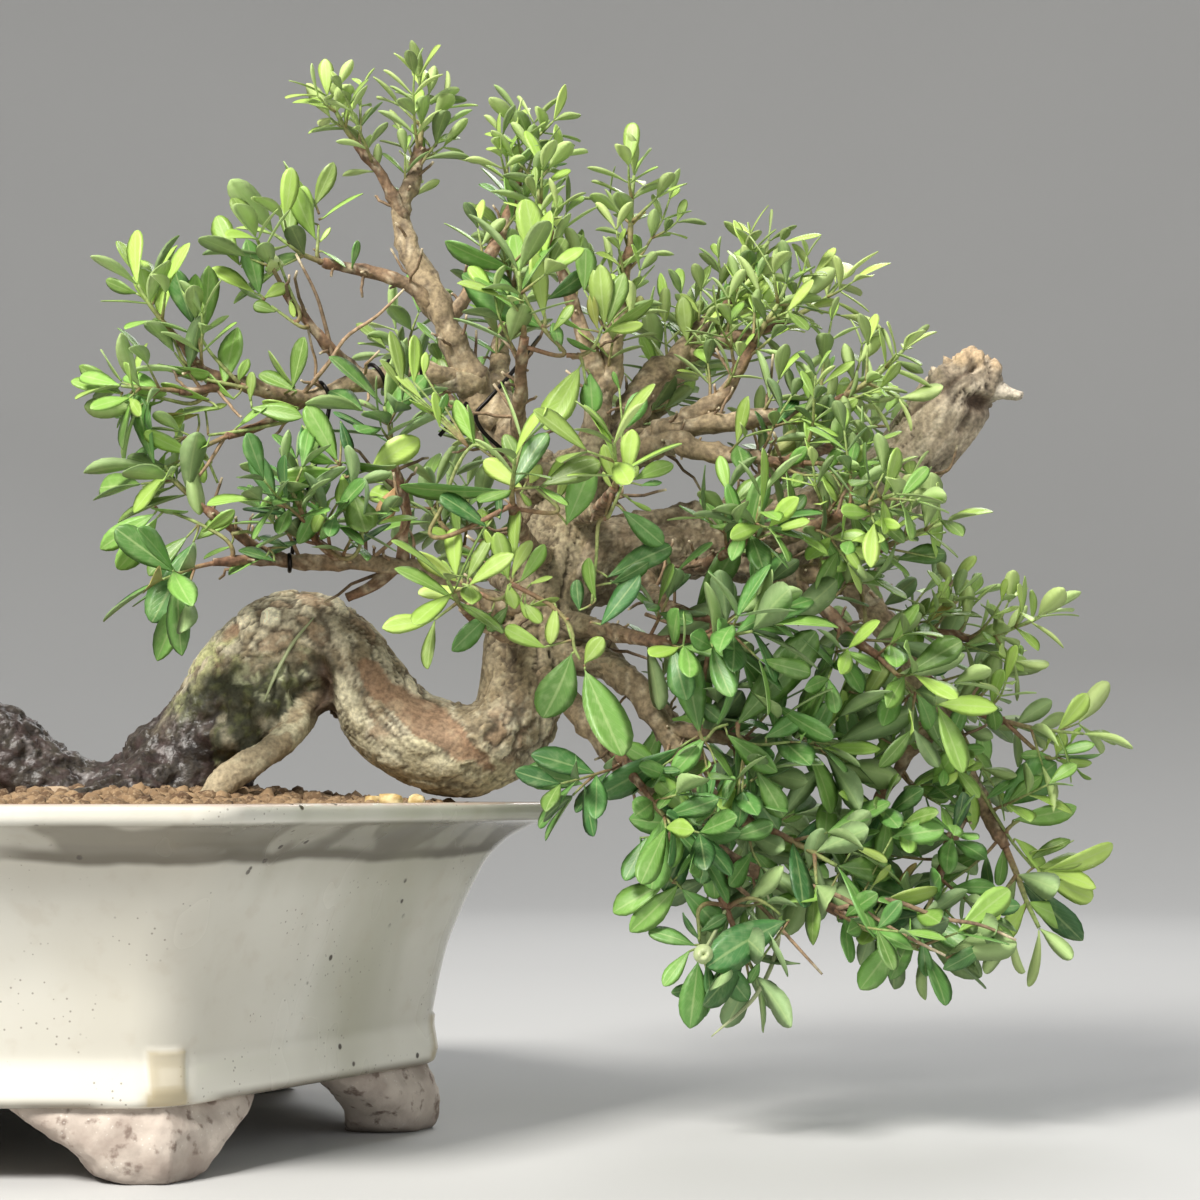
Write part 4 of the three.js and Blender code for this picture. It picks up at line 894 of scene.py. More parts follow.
def tube(path, radii, sides):
    """Rings of a radius square to a path, with a centre point closing each end."""
    tangent, across, other = frames(path)
    angle = np.arange(sides) / sides * 2 * np.pi
    ring = across[:, None] * np.cos(angle)[None, :, None] + other[:, None] * np.sin(angle)[None, :, None]
    radii = np.broadcast_to(np.asarray(radii, float).reshape(len(path), -1), (len(path), sides))
    skin = path[:, None] + ring * radii[..., None]
    points = np.concatenate([skin.reshape(-1, 3), path[:1], path[-1:]])
    return points, grid_faces(len(path), sides), end_fans(len(path), sides)


def gather(parts):
    """Joins (points, quads, triangles) parts into one such set."""
    offsets = np.cumsum([0] + [len(points) for points, _, _ in parts])
    points = np.concatenate([part[0] for part in parts])
    quads = np.concatenate([part[1] + offset for part, offset in zip(parts, offsets)])
    triangles = np.concatenate([part[2] + offset for part, offset in zip(parts, offsets)])
    return points, quads, triangles


def run_along(path):
    """The length of a path up to each of its points."""
    return np.concatenate([[0], np.cumsum(np.linalg.norm(np.diff(path, axis=0), axis=1))])


def seen_line(points, count):
    """A path of a number of points, on the limb's line through points of x, depth and z."""
    return limb_line(seen(np.array(points, float)), np.linspace(0, 1, count))


def tangents_at(corners, at, step=0.01):
    """The ways in which a limb's line runs: the differences between points a small step apart."""
    return unit(limb_line(corners, at + step) - limb_line(corners, at - step))


def sampled(rows, spacing):
    """A line of x, depth, z and radius, as a dense path on the line of sight and its radii."""
    rows = np.asarray(rows, float)
    corners = seen(rows[:, :3])
    length = np.linalg.norm(np.diff(corners, axis=0), axis=1).sum()
    at = np.linspace(0, 1, max(int(length / spacing), 6))
    radii = np.interp(at, np.linspace(0, 1, len(rows)), rows[:, 3])
    return limb_line(corners, at), radii


def limb_rows(name):
    """A living limb as rows of x, depth, z and an evenly shrinking radius."""
    first, last, *points = LIMBS[name]
    return np.column_stack([points, np.linspace(first, last, len(points))])


# %% [markdown]
# Where a limb leaves the trunk there is a collar: the trunk's own wood swells and wraps the foot of the
# limb. A short tapering cone along the limb's first stretch is melted into the trunk for that.

# %% Melt the heavy wood into one skin
VOXEL = 1.04
RELAX_ROUNDS = 7
COLLAR_LENGTH = 20.0
HEAVY_RADIUS = 2.9  # limbs with a first radius from here up get a collar
FORKS = ("right_rise_out", "upright_left", "cascade_a_fork", "right_long")  # they leave another limb


def collar(name):
    """A cone that starts 1.35 times as thick as the limb and ends inside it."""
    path, radii = sampled(limb_rows(name), 2.0)
    run = run_along(path)
    count = max(int(np.searchsorted(run, COLLAR_LENGTH + radii[0] * 2)), 4)
    share = np.linspace(0, 1, count)
    return tube(path[:count], radii[:count] * (1.35 - 0.55 * share), 14)


def heavy_tubes():
    """Tubes of the trunk, roots, dead limb and spurs, with ribs as sines round and along them."""
    parts = []
    for rows, sides, swell in [(TRUNK_LINE, 40, 0.07), (DEAD_LIMB_LINE, 36, 0.10)] + [
        (line, 28, 0.08) for line in ROOT_LINES + DEAD_SPURS
    ]:
        path, radii = sampled(rows, 2.0)
        place = np.linspace(0, len(rows) - 1, len(path))[:, None]
        angle = (np.arange(sides) / sides * 2 * np.pi)[None]
        ribs = 0.6 * np.sin(3 * angle + place * 0.9) + 0.4 * np.sin(2 * angle - place * 1.7)
        parts.append(tube(path, radii[:, None] * (1 + swell * ribs), sides))
    parts += [collar(name) for name, limb in LIMBS.items() if limb[0] >= HEAVY_RADIUS and name not in FORKS]
    return gather(parts)


def melted(points, quads, triangles, voxel):
    """Voxel remesh: space is cut into cubes, and a new skin of quads is laid where the cubes turn solid."""
    mesh = bpy.data.meshes.new("melting")
    mesh.from_pydata(points.tolist(), [], quads.tolist() + triangles.tolist())
    block = bpy.data.objects.new("melting", mesh)
    bpy.context.scene.collection.objects.link(block)
    modifier = block.modifiers.new("voxels", "REMESH")
    modifier.mode = "VOXEL"
    modifier.voxel_size = voxel
    skin = bpy.data.meshes.new_from_object(block.evaluated_get(bpy.context.evaluated_depsgraph_get()))
    co = np.empty(len(skin.vertices) * 3)
    skin.vertices.foreach_get("co", co)
    corner = np.empty(len(skin.loops), int)
    skin.loops.foreach_get("vertex_index", corner)
    edges = np.empty(len(skin.edges) * 2, int)
    skin.edges.foreach_get("vertices", edges)
    assert len(corner) == 4 * len(skin.polygons)
    bpy.data.objects.remove(block)
    bpy.data.meshes.remove(mesh)
    bpy.data.meshes.remove(skin)
    return co.reshape(-1, 3), corner.reshape(-1, 4), edges.reshape(-1, 2)


def relaxed(points, edges, rounds, strength=0.5):
    """Moves each point part of the way to the middle of its neighbours, a number of times."""
    ends = np.concatenate([edges[:, 0], edges[:, 1]])
    others = np.concatenate([edges[:, 1], edges[:, 0]])
    degree = np.bincount(ends, minlength=len(points))
    for _ in range(rounds):
        middle = np.stack(
            [np.bincount(ends, points[others, axis], len(points)) for axis in range(3)], axis=1
        ) / degree[:, None]
        points = points + (middle - points) * strength
    return points


def normals_of(points, quads):
    """The normal at each point: the sum of the cross products of its faces' diagonals."""
    cross = np.cross(points[quads[:, 2]] - points[quads[:, 0]], points[quads[:, 3]] - points[quads[:, 1]])
    total = np.stack(
        [np.bincount(quads.ravel(), np.repeat(cross[:, axis], 4), len(points)) for axis in range(3)], axis=1
    )
    return unit(total)


wood, wood_quads, wood_edges = melted(*heavy_tubes(), VOXEL)
wood = relaxed(wood, wood_edges, RELAX_ROUNDS)
print("melted wood:", len(wood), "points")

# %% [markdown]
# Bark follows the wood that it grows on: plates are longer along a limb than round it, and cracks run
# lengthwise. So each point of the skin is given its place on the nearest line: how far along it, and in
# which direction round it. Patterns are then drawn in those two, and never have a seam.


# %% Places along the wood
def places_on(points, lines):
    """For each point, the nearest line's number, the run along it, and the way out from it."""
    paths, radii, runs, numbers = [], [], [], []
    for number, rows in enumerate(lines):
        path, radius = sampled(rows, 1.5)
        paths.append(path)
        radii.append(radius)
        runs.append(run_along(path))
        numbers.append(np.full(len(path), number))
    path, radius, run, number = (np.concatenate(part) for part in (paths, radii, runs, numbers))
    best = np.empty(len(points), int)
    for start in range(0, len(points), 8000):
        block = points[start:start + 8000]
        distance = np.linalg.norm(block[:, None] - path[None], axis=2) - radius[None]
        best[start:start + 8000] = distance.argmin(axis=1)
    return number[best], run[best], unit(points - path[best])


heavy_lines = [TRUNK_LINE, DEAD_LIMB_LINE] + ROOT_LINES + DEAD_SPURS
line_number, line_run, way_out = places_on(wood, heavy_lines)

# %% [markdown]
# What the bark looks like, from left to right. The left foot and the hump beyond it are wet and nearly
# black. A mossy burl sits low on the arch's left leg, with yellow-green lichen above it. The arch has grey
# tan plates that peel, and on the right leg two long patches have shed them and show smooth reddish wood.
# The bottom of the bend is smooth and olive grey. The trunk that rises from it has rough, upright
# fissures. The dead limb is grey and cracked along its grain, and its broken end is a fresh tan.

# %% Bark regions


def spot(x, z, width, height, tilt=0.0, y_front=None):
    """A soft oval in the front view: 1 in its middle, 0 outside, with a ragged edge made by noise."""
    c, s = math.cos(tilt), math.sin(tilt)
    dx, dz = wood[:, 0] - x, wood[:, 2] - z
    across = (dx * c + dz * s) / width
    up = (-dx * s + dz * c) / height
    ragged = 0.22 * rough(wood / 7, 3, seed=21)
    mask = 1 - smooth_step(0.75, 1.1, np.hypot(across, up) + ragged)
    if y_front is not None:
        mask = mask * (1 - smooth_step(y_front - 2, y_front + 3, wood[:, 1]))
    return mask


def dent(x, z, width, height):
    """A bell in the front view: 1 in its middle, and falling off with the square of the distance."""
    return np.exp(-(((wood[:, 0] - x) / width) ** 2) - ((wood[:, 2] - z) / height) ** 2)


is_trunk = line_number == 0
is_dead = (line_number == 1) | (line_number >= len(heavy_lines) - 2)
is_aerial = line_number == 3
is_foot = np.isin(line_number, [2, 4, 5, 6, 7])
ragged = rough(wood / 11, 3, seed=30)
from_wet_edge = wood[:, 0] - 84 + (wood[:, 2] - 112) * 0.9 + ragged * 9
wet = np.where(is_foot | is_trunk, 1 - smooth_step(0, 14, from_wet_edge), 0)
wet = wet * (1 - smooth_step(128, 146, wood[:, 2] + ragged * 8) * (wood[:, 0] > 20))
burl = np.maximum(spot(84, 141, 19, 12, 0.35, -4), spot(68, 128, 14, 10, 0.9, 2)) * ~is_aerial
mossy = np.maximum.reduce([burl, spot(62, 133, 18, 15, 0.8), spot(80, 124, 13, 12)])
mossy = mossy * ~is_aerial * (wood[:, 1] < 6)
mossy = mossy * smooth_step(-0.9, 0.0, rough(wood / 8, 3, seed=31))
lichen = spot(56, 146, 10, 18, -0.9) * (1 - 0.6 * burl)
peeled = np.maximum(spot(131, 130, 23, 5.6, -0.62, 6), spot(113, 144, 9, 4.2, -0.95, 6)) * is_trunk
peeled = np.maximum(peeled, spot(66, 159, 5, 2.6, 0.8, 0) * 0.8)
peeled = smooth_step(0.28, 0.62, peeled + 0.2 * rough(wood / 6, 3, seed=32))
belly = spot(132, 116, 34, 8.5, -0.18) * is_trunk
belly = np.maximum(belly, spot(104, 134, 6, 13, 0.3, 0) * is_trunk)
fissured = smooth_step(126, 142, wood[:, 2] + ragged * 5) * (wood[:, 0] > 138) * is_trunk
stub = smooth_step(262, 285, wood[:, 0] + ragged * 6) * is_dead
broken = smooth_step(247.5, 250.5, wood[:, 2] + ragged * 1.5) * smooth_step(299, 303, wood[:, 0])
cleft = dent(96, 141, 3.6, 13) * (wood[:, 1] < -4)


def near_line(start, end, width):
    """1 on a ragged line between two points of the front view, falling off as a bell of the given width."""
    start, step = np.array(start), np.subtract(end, start)
    where = wood[:, ::2] + 0.9 * rough(wood / 4, 3, seed=33)[:, None] - start
    share = np.clip(where @ step / (step @ step), 0, 1)
    return np.exp(-((np.linalg.norm(where - share[:, None] * step, axis=1) / width) ** 2))


split = near_line((287, 233), (310, 249), 0.9)
split = split + 0.8 * near_line((308, 233), (291, 209), 1.3) * (ragged > -0.1)
split = np.clip(split, 0, 1) * is_dead * (wood[:, 1] < 12)

# %% Bark relief
along = line_run[:, None] * np.array([[1.0, 0.7, 0.4]])
bark_space = way_out * 15 + along * 0.45
plate_edge, plate_number = plates(bark_space / 6.0 + 0.25 * rough(wood / 5, 2, seed=41)[:, None], seed=40)
crack = 1 - smooth_step(0.02, 0.16, plate_edge)
grain_space = way_out * 15 + along * 0.12
fissure = 1 - np.abs(rough(grain_space / 3.4, 3, seed=42))
fissure_depth = smooth_step(0.80, 0.97, fissure)
dead_space = way_out * 14 + along * 0.05
dead_grain = 1 - np.abs(rough(dead_space / 3.0, 3, seed=43))
dead_crack = smooth_step(0.86, 0.98, dead_grain) * smooth_step(-0.35, 0.1, rough(wood / 16, 2, seed=47))
knobs = rough(wood / 9, 3, seed=44)
flakes = rough(wood / 2.2, 2, seed=45)
smooth_bark = np.clip(peeled + 0.75 * belly, 0, 1)
plated = np.clip(1 - smooth_bark - fissured - burl - stub, 0, 1) * np.where(is_aerial, 0.3, 1.0)
relief = 0.55 * knobs + 0.22 * flakes * (1 - 0.8 * smooth_bark)
relief += plated * (0.85 * (plate_number - 0.35) - 1.0 * crack)
relief += belly * (1 - peeled) * (0.35 * (plate_number > 0.5) - 0.45 * crack * (plate_number > 0.35))
relief += 2.4 * peeled * (1 - peeled) - 0.9 * peeled
relief += fissured * (0.6 - 1.7 * fissure_depth + 0.5 * (plate_number - 0.5))
relief += burl * (2.6 * knobs + 1.2 * rough(wood / 4, 3, seed=46))
relief += stub * (-1.5 * dead_crack + 0.5 * dead_grain)
splinters = rough(wood / (2.6, 2.6, 9.0), 3, seed=48)
relief += smooth_step(240, 249, wood[:, 2]) * (wood[:, 0] > 292) * 2.4 * splinters
relief -= 4.2 * cleft + 1.6 * split
is_knobby = is_dead & (wood[:, 0] < 275)
relief += np.where(is_knobby, 1.7 * rough(wood / 7, 3, seed=49) + 1.1 * (plate_number - 0.5), 0) * (1 - stub)
relief += is_foot * wet * 1.4 * rough(wood / 5, 3, seed=50)
print("relief from", relief.min().round(1), "to", relief.max().round(1), "mm")

# %% [markdown]
# A branch was once sawn off the arch, and the cut has healed to a pale round scar that faces the viewer.
# On the stub there is a hole under the lip of the break. Both are pressed into the skin: the scar as
# a flat disc with a rim, the hole as a deep bell. The groove round the scar and the hole are painted dark, as
# painted shade.

# %% Scar and hole
SCAR = seen((77.0, -15.0, 165.0))
SCAR_RADIUS = 3.4
HOLE = seen((311.0, 2.0, 236.5))
from_scar = np.hypot(wood[:, 0] - SCAR[0], wood[:, 2] - SCAR[2])
faces_front = wood[:, 1] < -6
scar = (1 - smooth_step(SCAR_RADIUS - 0.5, SCAR_RADIUS + 0.4, from_scar)) * faces_front
scar_rim = np.exp(-(((from_scar - SCAR_RADIUS - 0.6) / 0.7) ** 2)) * faces_front
hole = dent(HOLE[0], HOLE[2], 4.6, 2.6) * (wood[:, 1] < 12) * is_dead
relief = relief * (1 - scar) + 0.9 * scar - 0.5 * scar_rim - 5.0 * hole

wood_normals = normals_of(wood, wood_quads)
wood = wood + wood_normals * relief[:, None]
wood = relaxed(wood, wood_edges, 1, 0.25)

# %% [markdown]
# The bark's colours are painted on the same regions: each is a mix of two tones by noise, laid over the one
# before by its mask. Cracks are painted dark, as their own dark and as painted shade, and raised plates are
# painted lighter, as painted light, so the relief helps to choose the tone. The painting is kept as a colour
# on each point, and the finish adds the grain that is finer still.


# %% Bark colours
def painted(base, colour, share):
    """Lays a colour over a painting: each point keeps 1 minus its share of what was there."""
    share = np.clip(share, 0, 1)[:, None]
    return base * (1 - share) + np.asarray(colour) * share


mottle = smooth_step(-0.5, 0.5, rough(wood / 6, 4, seed=60))[:, None]
speckle = smooth_step(0.25, 0.6, rough(wood / 1.6, 2, seed=61))
tan_plates = np.array([0.34, 0.275, 0.17]) * (1 - mottle) + np.array([0.70, 0.63, 0.45]) * mottle
# Plates are painted lighter the higher they stand: painted light
bark = tan_plates * (0.75 + 0.5 * plate_number[:, None])
moss_tips = smooth_step(0.2, 0.6, rough(wood / 2.4, 3, seed=65))
crust = smooth_step(0.38, 0.55, rough(wood / 3.6, 2, seed=66)) * smooth_step(130, 142, wood[:, 2])
grey_grain = smooth_step(-0.3, 0.5, rough(dead_space / 2 + 9, 3, seed=70))
is_spur = line_number >= len(heavy_lines) - 2
# Wood that faces downwards is painted darker: painted shade
painted_underside_shade = smooth_step(0.25, 0.9, -wood_normals[:, 2])
LAYERS = [
    ((0.38, 0.25, 0.15), plated * (plate_number < 0.12) * 0.6),
    ((0.78, 0.73, 0.54), speckle * 0.45),
    ((0.58, 0.53, 0.34), belly * 0.75),
    ((0.76, 0.71, 0.50), belly * smooth_step(0, 0.5, rough(wood / 9, 3, seed=62)) * 0.7),
    ((0.30, 0.185, 0.11), peeled * 0.92),
    ((0.09, 0.06, 0.035), 4 * peeled * (1 - peeled)
     * smooth_step(-0.3, 0.4, rough(wood / 6, 2, seed=59)) * 0.55),
    ((0.50, 0.38, 0.245), peeled * smooth_step(0.1, 0.6, rough(wood / 5, 3, seed=63)) * 0.55),
    ((0.215, 0.165, 0.09), fissured * 0.8),
    ((0.42, 0.36, 0.22), fissured * speckle * 0.6),
    # Cracks and fissures are painted dark, as their own dark and as painted shade
    ((0.055, 0.038, 0.022), crack * plated * 0.8),
    ((0.06, 0.042, 0.025), fissure_depth * fissured * 0.85),
    ((0.06, 0.045, 0.03), crack * belly * (plate_number > 0.35) * 0.55),
    ((0.56, 0.58, 0.27), lichen * smooth_step(-0.35, 0.25, rough(wood / 3, 3, seed=64)) * 0.75),
    ((0.035, 0.042, 0.018), mossy * 0.92),
    ((0.15, 0.165, 0.06), mossy * moss_tips * 0.7),
    ((0.56, 0.58, 0.36), burl * crust * 0.85),
    ((0.016, 0.010, 0.009), wet * 0.95),
    ((0.060, 0.040, 0.037), wet * smooth_step(-0.1, 0.5, rough(wood / 3, 3, seed=67)) * 0.75),
    # Pale grey spots on the wet wood are painted highlights
    ((0.30, 0.27, 0.26), wet * smooth_step(0.52, 0.7, rough(wood / 2.2, 2, seed=68)) * 0.5),
    ((0.34, 0.27, 0.165), is_aerial * 0.85),
    ((0.60, 0.56, 0.38), is_aerial * smooth_step(0, 0.5, rough(wood / 4, 3, seed=69))
     * smooth_step(108, 124, wood[:, 2]) * 0.75),
    ((0.19, 0.14, 0.085), is_knobby * (1 - stub) * 0.7),
    ((0.42, 0.35, 0.235), is_knobby * (1 - stub) * speckle * 0.7),
    ((0.38, 0.30, 0.21), stub * 0.9),
    ((0.68, 0.58, 0.43), stub * grey_grain * 0.75),
    ((0.045, 0.03, 0.02), stub * dead_crack * 0.95),
    ((0.16, 0.13, 0.09), stub * smooth_step(0.1, 0.5, rough(wood / 7, 3, seed=71)) * 0.6),
    ((0.56, 0.41, 0.25), broken * smooth_step(-0.5, 0.2, splinters) * 0.9),
    ((0.92, 0.86, 0.63), scar),
    # The groove round the scar, the hole, the cleft and the splits are painted dark: painted shade
    ((0.08, 0.05, 0.03), np.clip(scar_rim * 0.7 + hole * 1.9 + cleft * 1.3 + split * 0.85, 0, 0.97)),
    ((0.62, 0.55, 0.44), is_spur * smooth_step(4, 10, line_run) * 0.85),
    # Painted shade on wood that faces downwards
    ((0.10, 0.075, 0.05), painted_underside_shade * 0.35 * (1 - belly)),
]
for colour, share in LAYERS:
    bark = painted(bark, colour, share)
tones = np.column_stack([np.clip(bark, 0, 1), np.clip(0.25 + 0.6 * wet + 0.25 * mossy, 0, 1)])

# %% Bark finish
bark_finish = Finish("old_bark", roughness=0.85)
painting = bark_finish.tone()
bark_grit = bark_finish.noise(700.0, detail=2.0)
bark_fine = bark_finish.noise(250.0, detail=3.0)
gritty = bark_finish.add("ShaderNodeMapRange", {
    "Value": bark_grit, "From Min": 0.3, "From Max": 0.7, "To Min": 0.66, "To Max": 1.34,
}).outputs["Result"]
bark_colour = bark_finish.mix(1.0, painting.outputs["Color"], gritty, blend="MULTIPLY")
shine = bark_finish.add("ShaderNodeMapRange", {
    "Value": painting.outputs["Alpha"], "From Min": 0.2, "From Max": 0.9, "To Min": 0.88, "To Max": 0.42,
}).outputs["Result"]
bark_height = bark_finish.math("ADD", bark_fine, bark_finish.times(bark_grit, 0.6))
old_bark = bark_finish.finish(bark_colour, shine, bark_height, depth_mm=0.7, strength=0.7)

make_piece("trunk_wood", wood, [(wood_quads, 0)], [old_bark], ("tree",), tones)

# %% [markdown]
# The living limbs. Each is a tube along its line, with a small knob wherever a pair of twigs once grew,
# about every 12 mm. Thick limbs have flaky tan bark, and it turns to a thin red-brown skin towards the
# ends. The limbs stay tubes of their own: their feet are hidden in the collars of the trunk.

# %% Living limbs
LIMB_SIDES = 12
KNOB_SPACING = 12.0


def limb_colours(points, radii, seed):
    """Bark tones for thin wood: tan where it is thick, red-brown where thin, with pale and dark specks."""
    thin = (1 - smooth_step(1.3, 3.2, radii))[:, None]
    base = np.array([0.36, 0.275, 0.165]) * (1 - thin) + np.array([0.235, 0.125, 0.072]) * thin
    base = base * (0.85 + 0.3 * rough(points / 5, 3, seed)[:, None])
    base = painted(base, (0.58, 0.49, 0.34), smooth_step(0.28, 0.6, rough(points / 2, 2, seed + 1)) * 0.6)
    base = painted(base, (0.07, 0.045, 0.03), smooth_step(0.35, 0.65, rough(points / 1.7, 2, seed + 2)) * 0.7)
    return np.column_stack([np.clip(base, 0, 1), np.full(len(points), 0.25)])


def make_limb_wood():
    """Tubes whose radius shrinks to the tip and swells at knobs; bark noise moves each point outwards."""
    random = np.random.default_rng(21)
    parts, reach, ways = [], [], []
    for name in LIMBS:
        path, radii = sampled(limb_rows(name), 1.5)
        run = run_along(path)
        knobs_at = np.arange(random.uniform(4, 10), run[-1], KNOB_SPACING)
        knobs_at = knobs_at + random.uniform(-2.5, 2.5, len(knobs_at))
        swell = np.exp(-(((run[:, None] - knobs_at[None]) / 1.7) ** 2)).sum(axis=1)
        wander = np.column_stack([
            noise(np.column_stack([run / 9, run * 0 + axis, run * 0 + len(parts)]), seed=80)
            for axis in range(3)
        ])
        free = smooth_step(0, 8, run) * smooth_step(0, 6, run[-1] - run)
        path = path + 0.35 * radii[:, None] * wander * free[:, None]
        sides = np.arange(LIMB_SIDES) / LIMB_SIDES * 2 * np.pi
        oval = 1 + 0.09 * np.sin(2 * sides[None] + run[:, None] / 7)
        oval = oval + 0.05 * np.sin(3 * sides[None] - run[:, None] / 4)
        part = tube(path, radii[:, None] * (1 + 0.2 * swell[:, None]) * oval, LIMB_SIDES)
        parts.append(part)
        reach.append(np.concatenate([np.repeat(radii, LIMB_SIDES), radii[:1], radii[-1:]]))
        centre = np.concatenate([np.repeat(path, LIMB_SIDES, axis=0), path[:1], path[-1:]])
        ways.append(unit(part[0] - centre))
    points, quads, triangles = gather(parts)
    reach, ways = np.concatenate(reach), np.concatenate(ways)
    bumps = rough(points / 2.6, 3, seed=81) * np.clip(reach * 0.13, 0.12, 0.6)
    points = points + ways * bumps[:, None]
    colours = limb_colours(points, reach, seed=82)
    make_part("limb_wood", (points, quads, triangles), old_bark, ("tree",), colours)


make_limb_wood()

# %% [markdown]
# The wire. A black training wire winds round the limb that reaches left, and a second one ties that limb
# down to the limb over the arch. Both are round and run where the frame's plain wires do.

# %% Wire
WIRE_RADIUS = 0.7
WIRE_SIDES = 10
COIL_TURNS = 3
COIL_FROM = 0.145
COIL_TO = 0.3
HOOK_TURN = 1.75 * math.pi
TIE_LINE = [(96, -19.5, 236.6), (94, -21, 226), (89, -25, 208), (84, -29.2, 187.6)]
black_wire = speckled(
    "black_wire", (0.006, 0.006, 0.006), (0.035, 0.03, 0.028), 500.0, 0.08, roughness=0.38, Metallic=0.85,
)


def make_coil():
    """A helix: a circle that turns square to the limb's line while its centre moves along it."""
    rows = limb_rows("mid_left")
    at = np.linspace(COIL_FROM, COIL_TO, COIL_TURNS * 26)
    corners = seen(rows[:, :3])
    centre = limb_line(corners, at)
    tangent = tangents_at(corners, at, 1e-4)
    across = unit(np.array([0.0, 1, 0]) - tangent * tangent[:, 1:2])
    other = np.cross(tangent, across)
    angle = (at - COIL_FROM) / (COIL_TO - COIL_FROM) * COIL_TURNS * 2 * np.pi
    radius = rows[0, 3] + (rows[-1, 3] - rows[0, 3]) * at + WIRE_RADIUS + 0.55
    ring = across * np.cos(angle)[:, None] + other * np.sin(angle)[:, None]
    return tube(centre + ring * radius[:, None], np.full(len(at), WIRE_RADIUS), WIRE_SIDES)


def hook(end, name):
    """A turn of the wire round a limb: a circle of the limb's radius plus the wire's, square to its line."""
    line, radii = sampled(limb_rows(name), 0.5)
    near = np.clip(np.linalg.norm(line - end, axis=1).argmin(), 1, len(line) - 2)
    tangent = unit(line[near + 1] - line[near - 1])
    out = end - line[near]
    out = unit(out - tangent * (out @ tangent))
    turn = np.linspace(0.25, HOOK_TURN, 26)[:, None]
    way = out * np.cos(turn) + np.cross(tangent, out) * np.sin(turn)
    ring = (radii[near] * 1.06 + WIRE_RADIUS) * way
    return line[near] + ring + tangent * turn / HOOK_TURN * 1.8 * WIRE_RADIUS


def make_wires():
    """The coil, and the tie with a small hook closed round each limb."""
    make_part("training_wire_fine", make_coil(), black_wire, ("training_wire",))
    path = seen_line(TIE_LINE, 40)
    path = np.concatenate([hook(path[0], "mid_left")[::-1], path, hook(path[-1], "arch")])
    tie = tube(path, np.full(len(path), WIRE_RADIUS), WIRE_SIDES)
    make_part("tie_wire_fine", tie, black_wire, ("tie_wire",))


make_wires()

# %% [markdown]
# Leaves sit in pairs, each pair a quarter turn on from the pair below. The frame holds one plain shoot at
# the end of every limb, grown by a rule from a seed. The same rule and the same seed are used here, so the
# fine shoot has its leaves where the plain one has them, give or take a few millimetres. Then more twigs
# fill in along the limb.

# %% How shoots grow
UP = np.array([0.0, 0.0, 1.0])
WANDER = 0.35
MOST_TWIST = 1.1
LIFT_PER_NODE = 0.4
LEAF_SPREAD = 1.0
TIP_LEAF_SPREAD = 0.6
STEM_GIRTH = 0.72


class Draws:
    """Repeatable numbers from 0 to 1: the state is multiplied, and the remainder of a prime is kept."""

    def __init__(self, seed):
        self.state = (seed * 7919 + 12345) % 2147483647

    def __call__(self):
        self.state = self.state * 16807 % 2147483647
        return self.state / 2147483647

    def three(self):
        """Three numbers from -0.5 to 0.5."""
        return np.array([self() - 0.5, self() - 0.5, self() - 0.5])


def square_to(vector, axis):
    """What is left of a vector after its part along an axis is taken away, at length 1."""
    return unit(vector - axis * (vector @ axis))


def leaf_face(heading, stem, stray):
    """The way a blade's upper side looks: up to the light, but turned no more than its stalk can twist."""
    natural = square_to(stem, heading)
    wanted = square_to(0.9 * UP + 0.5 * stem + 0.9 * stray, heading)
    angle = math.acos(np.clip(natural @ wanted, -1, 1))
    if angle <= MOST_TWIST:
        return wanted
    hand = np.sign(np.cross(natural, wanted) @ heading) or 1.0
    turn = hand * MOST_TWIST
    return natural * math.cos(turn) + np.cross(heading, natural) * math.sin(turn)


def grow(start, heading, side, length, leaf_length, lift, nodes, seed, spread_by=1.0, shrink=0.0):
    """One stem: at each node it turns up and strays a little, and bears a pair of leaves.

    spread_by scales how far the leaves open, and shrink is how much smaller the last pair is.
    """
    draw = Draws(seed)
    direction = heading.copy()
    at = start.copy()
    across = square_to(side, heading)
    grown = []
    for node in range(1, nodes + 1):
        direction = unit(direction + UP * lift * LIFT_PER_NODE + draw.three() * WANDER)
        at = at + direction * length / nodes
        across = square_to(across, direction)
        other = np.cross(direction, across)
        leaf_side, bud_side = (across, other) if node % 2 else (other, across)
        spread = spread_by * (TIP_LEAF_SPREAD if node == nodes else LEAF_SPREAD)
        leaves = []
        for hand in (1, -1):
            size = leaf_length * (0.8 + 0.4 * draw()) * (1 - shrink * (node - 1) / nodes)
            away = unit(direction * math.cos(spread) + leaf_side * hand * math.sin(spread))
            leaves.append((at, away, leaf_face(away, direction, draw.three()), size))
        grown.append({"at": at, "direction": direction, "bud_side": bud_side, "leaves": leaves})
    return grown


# %% [markdown]
# One leaf is a thin lens: a grid over its upper side, and a coarser one under it that shares the rim. The
# outline is narrow at the stalk, widest past the middle, and blunt at the tip. The halves fold up from the
# midrib, which is a groove above and a ridge below. All leaves of a shoot are worked out at once.

# %% Leaf blades
STATIONS = np.array([0.06, 0.14, 0.26, 0.40, 0.55, 0.70, 0.83, 0.93, 0.985])
ACROSS = np.array([-1.0, -0.5, 0.0, 0.5, 1.0])
LEAF_THICKNESS = 0.42
MIDRIB = 0.13


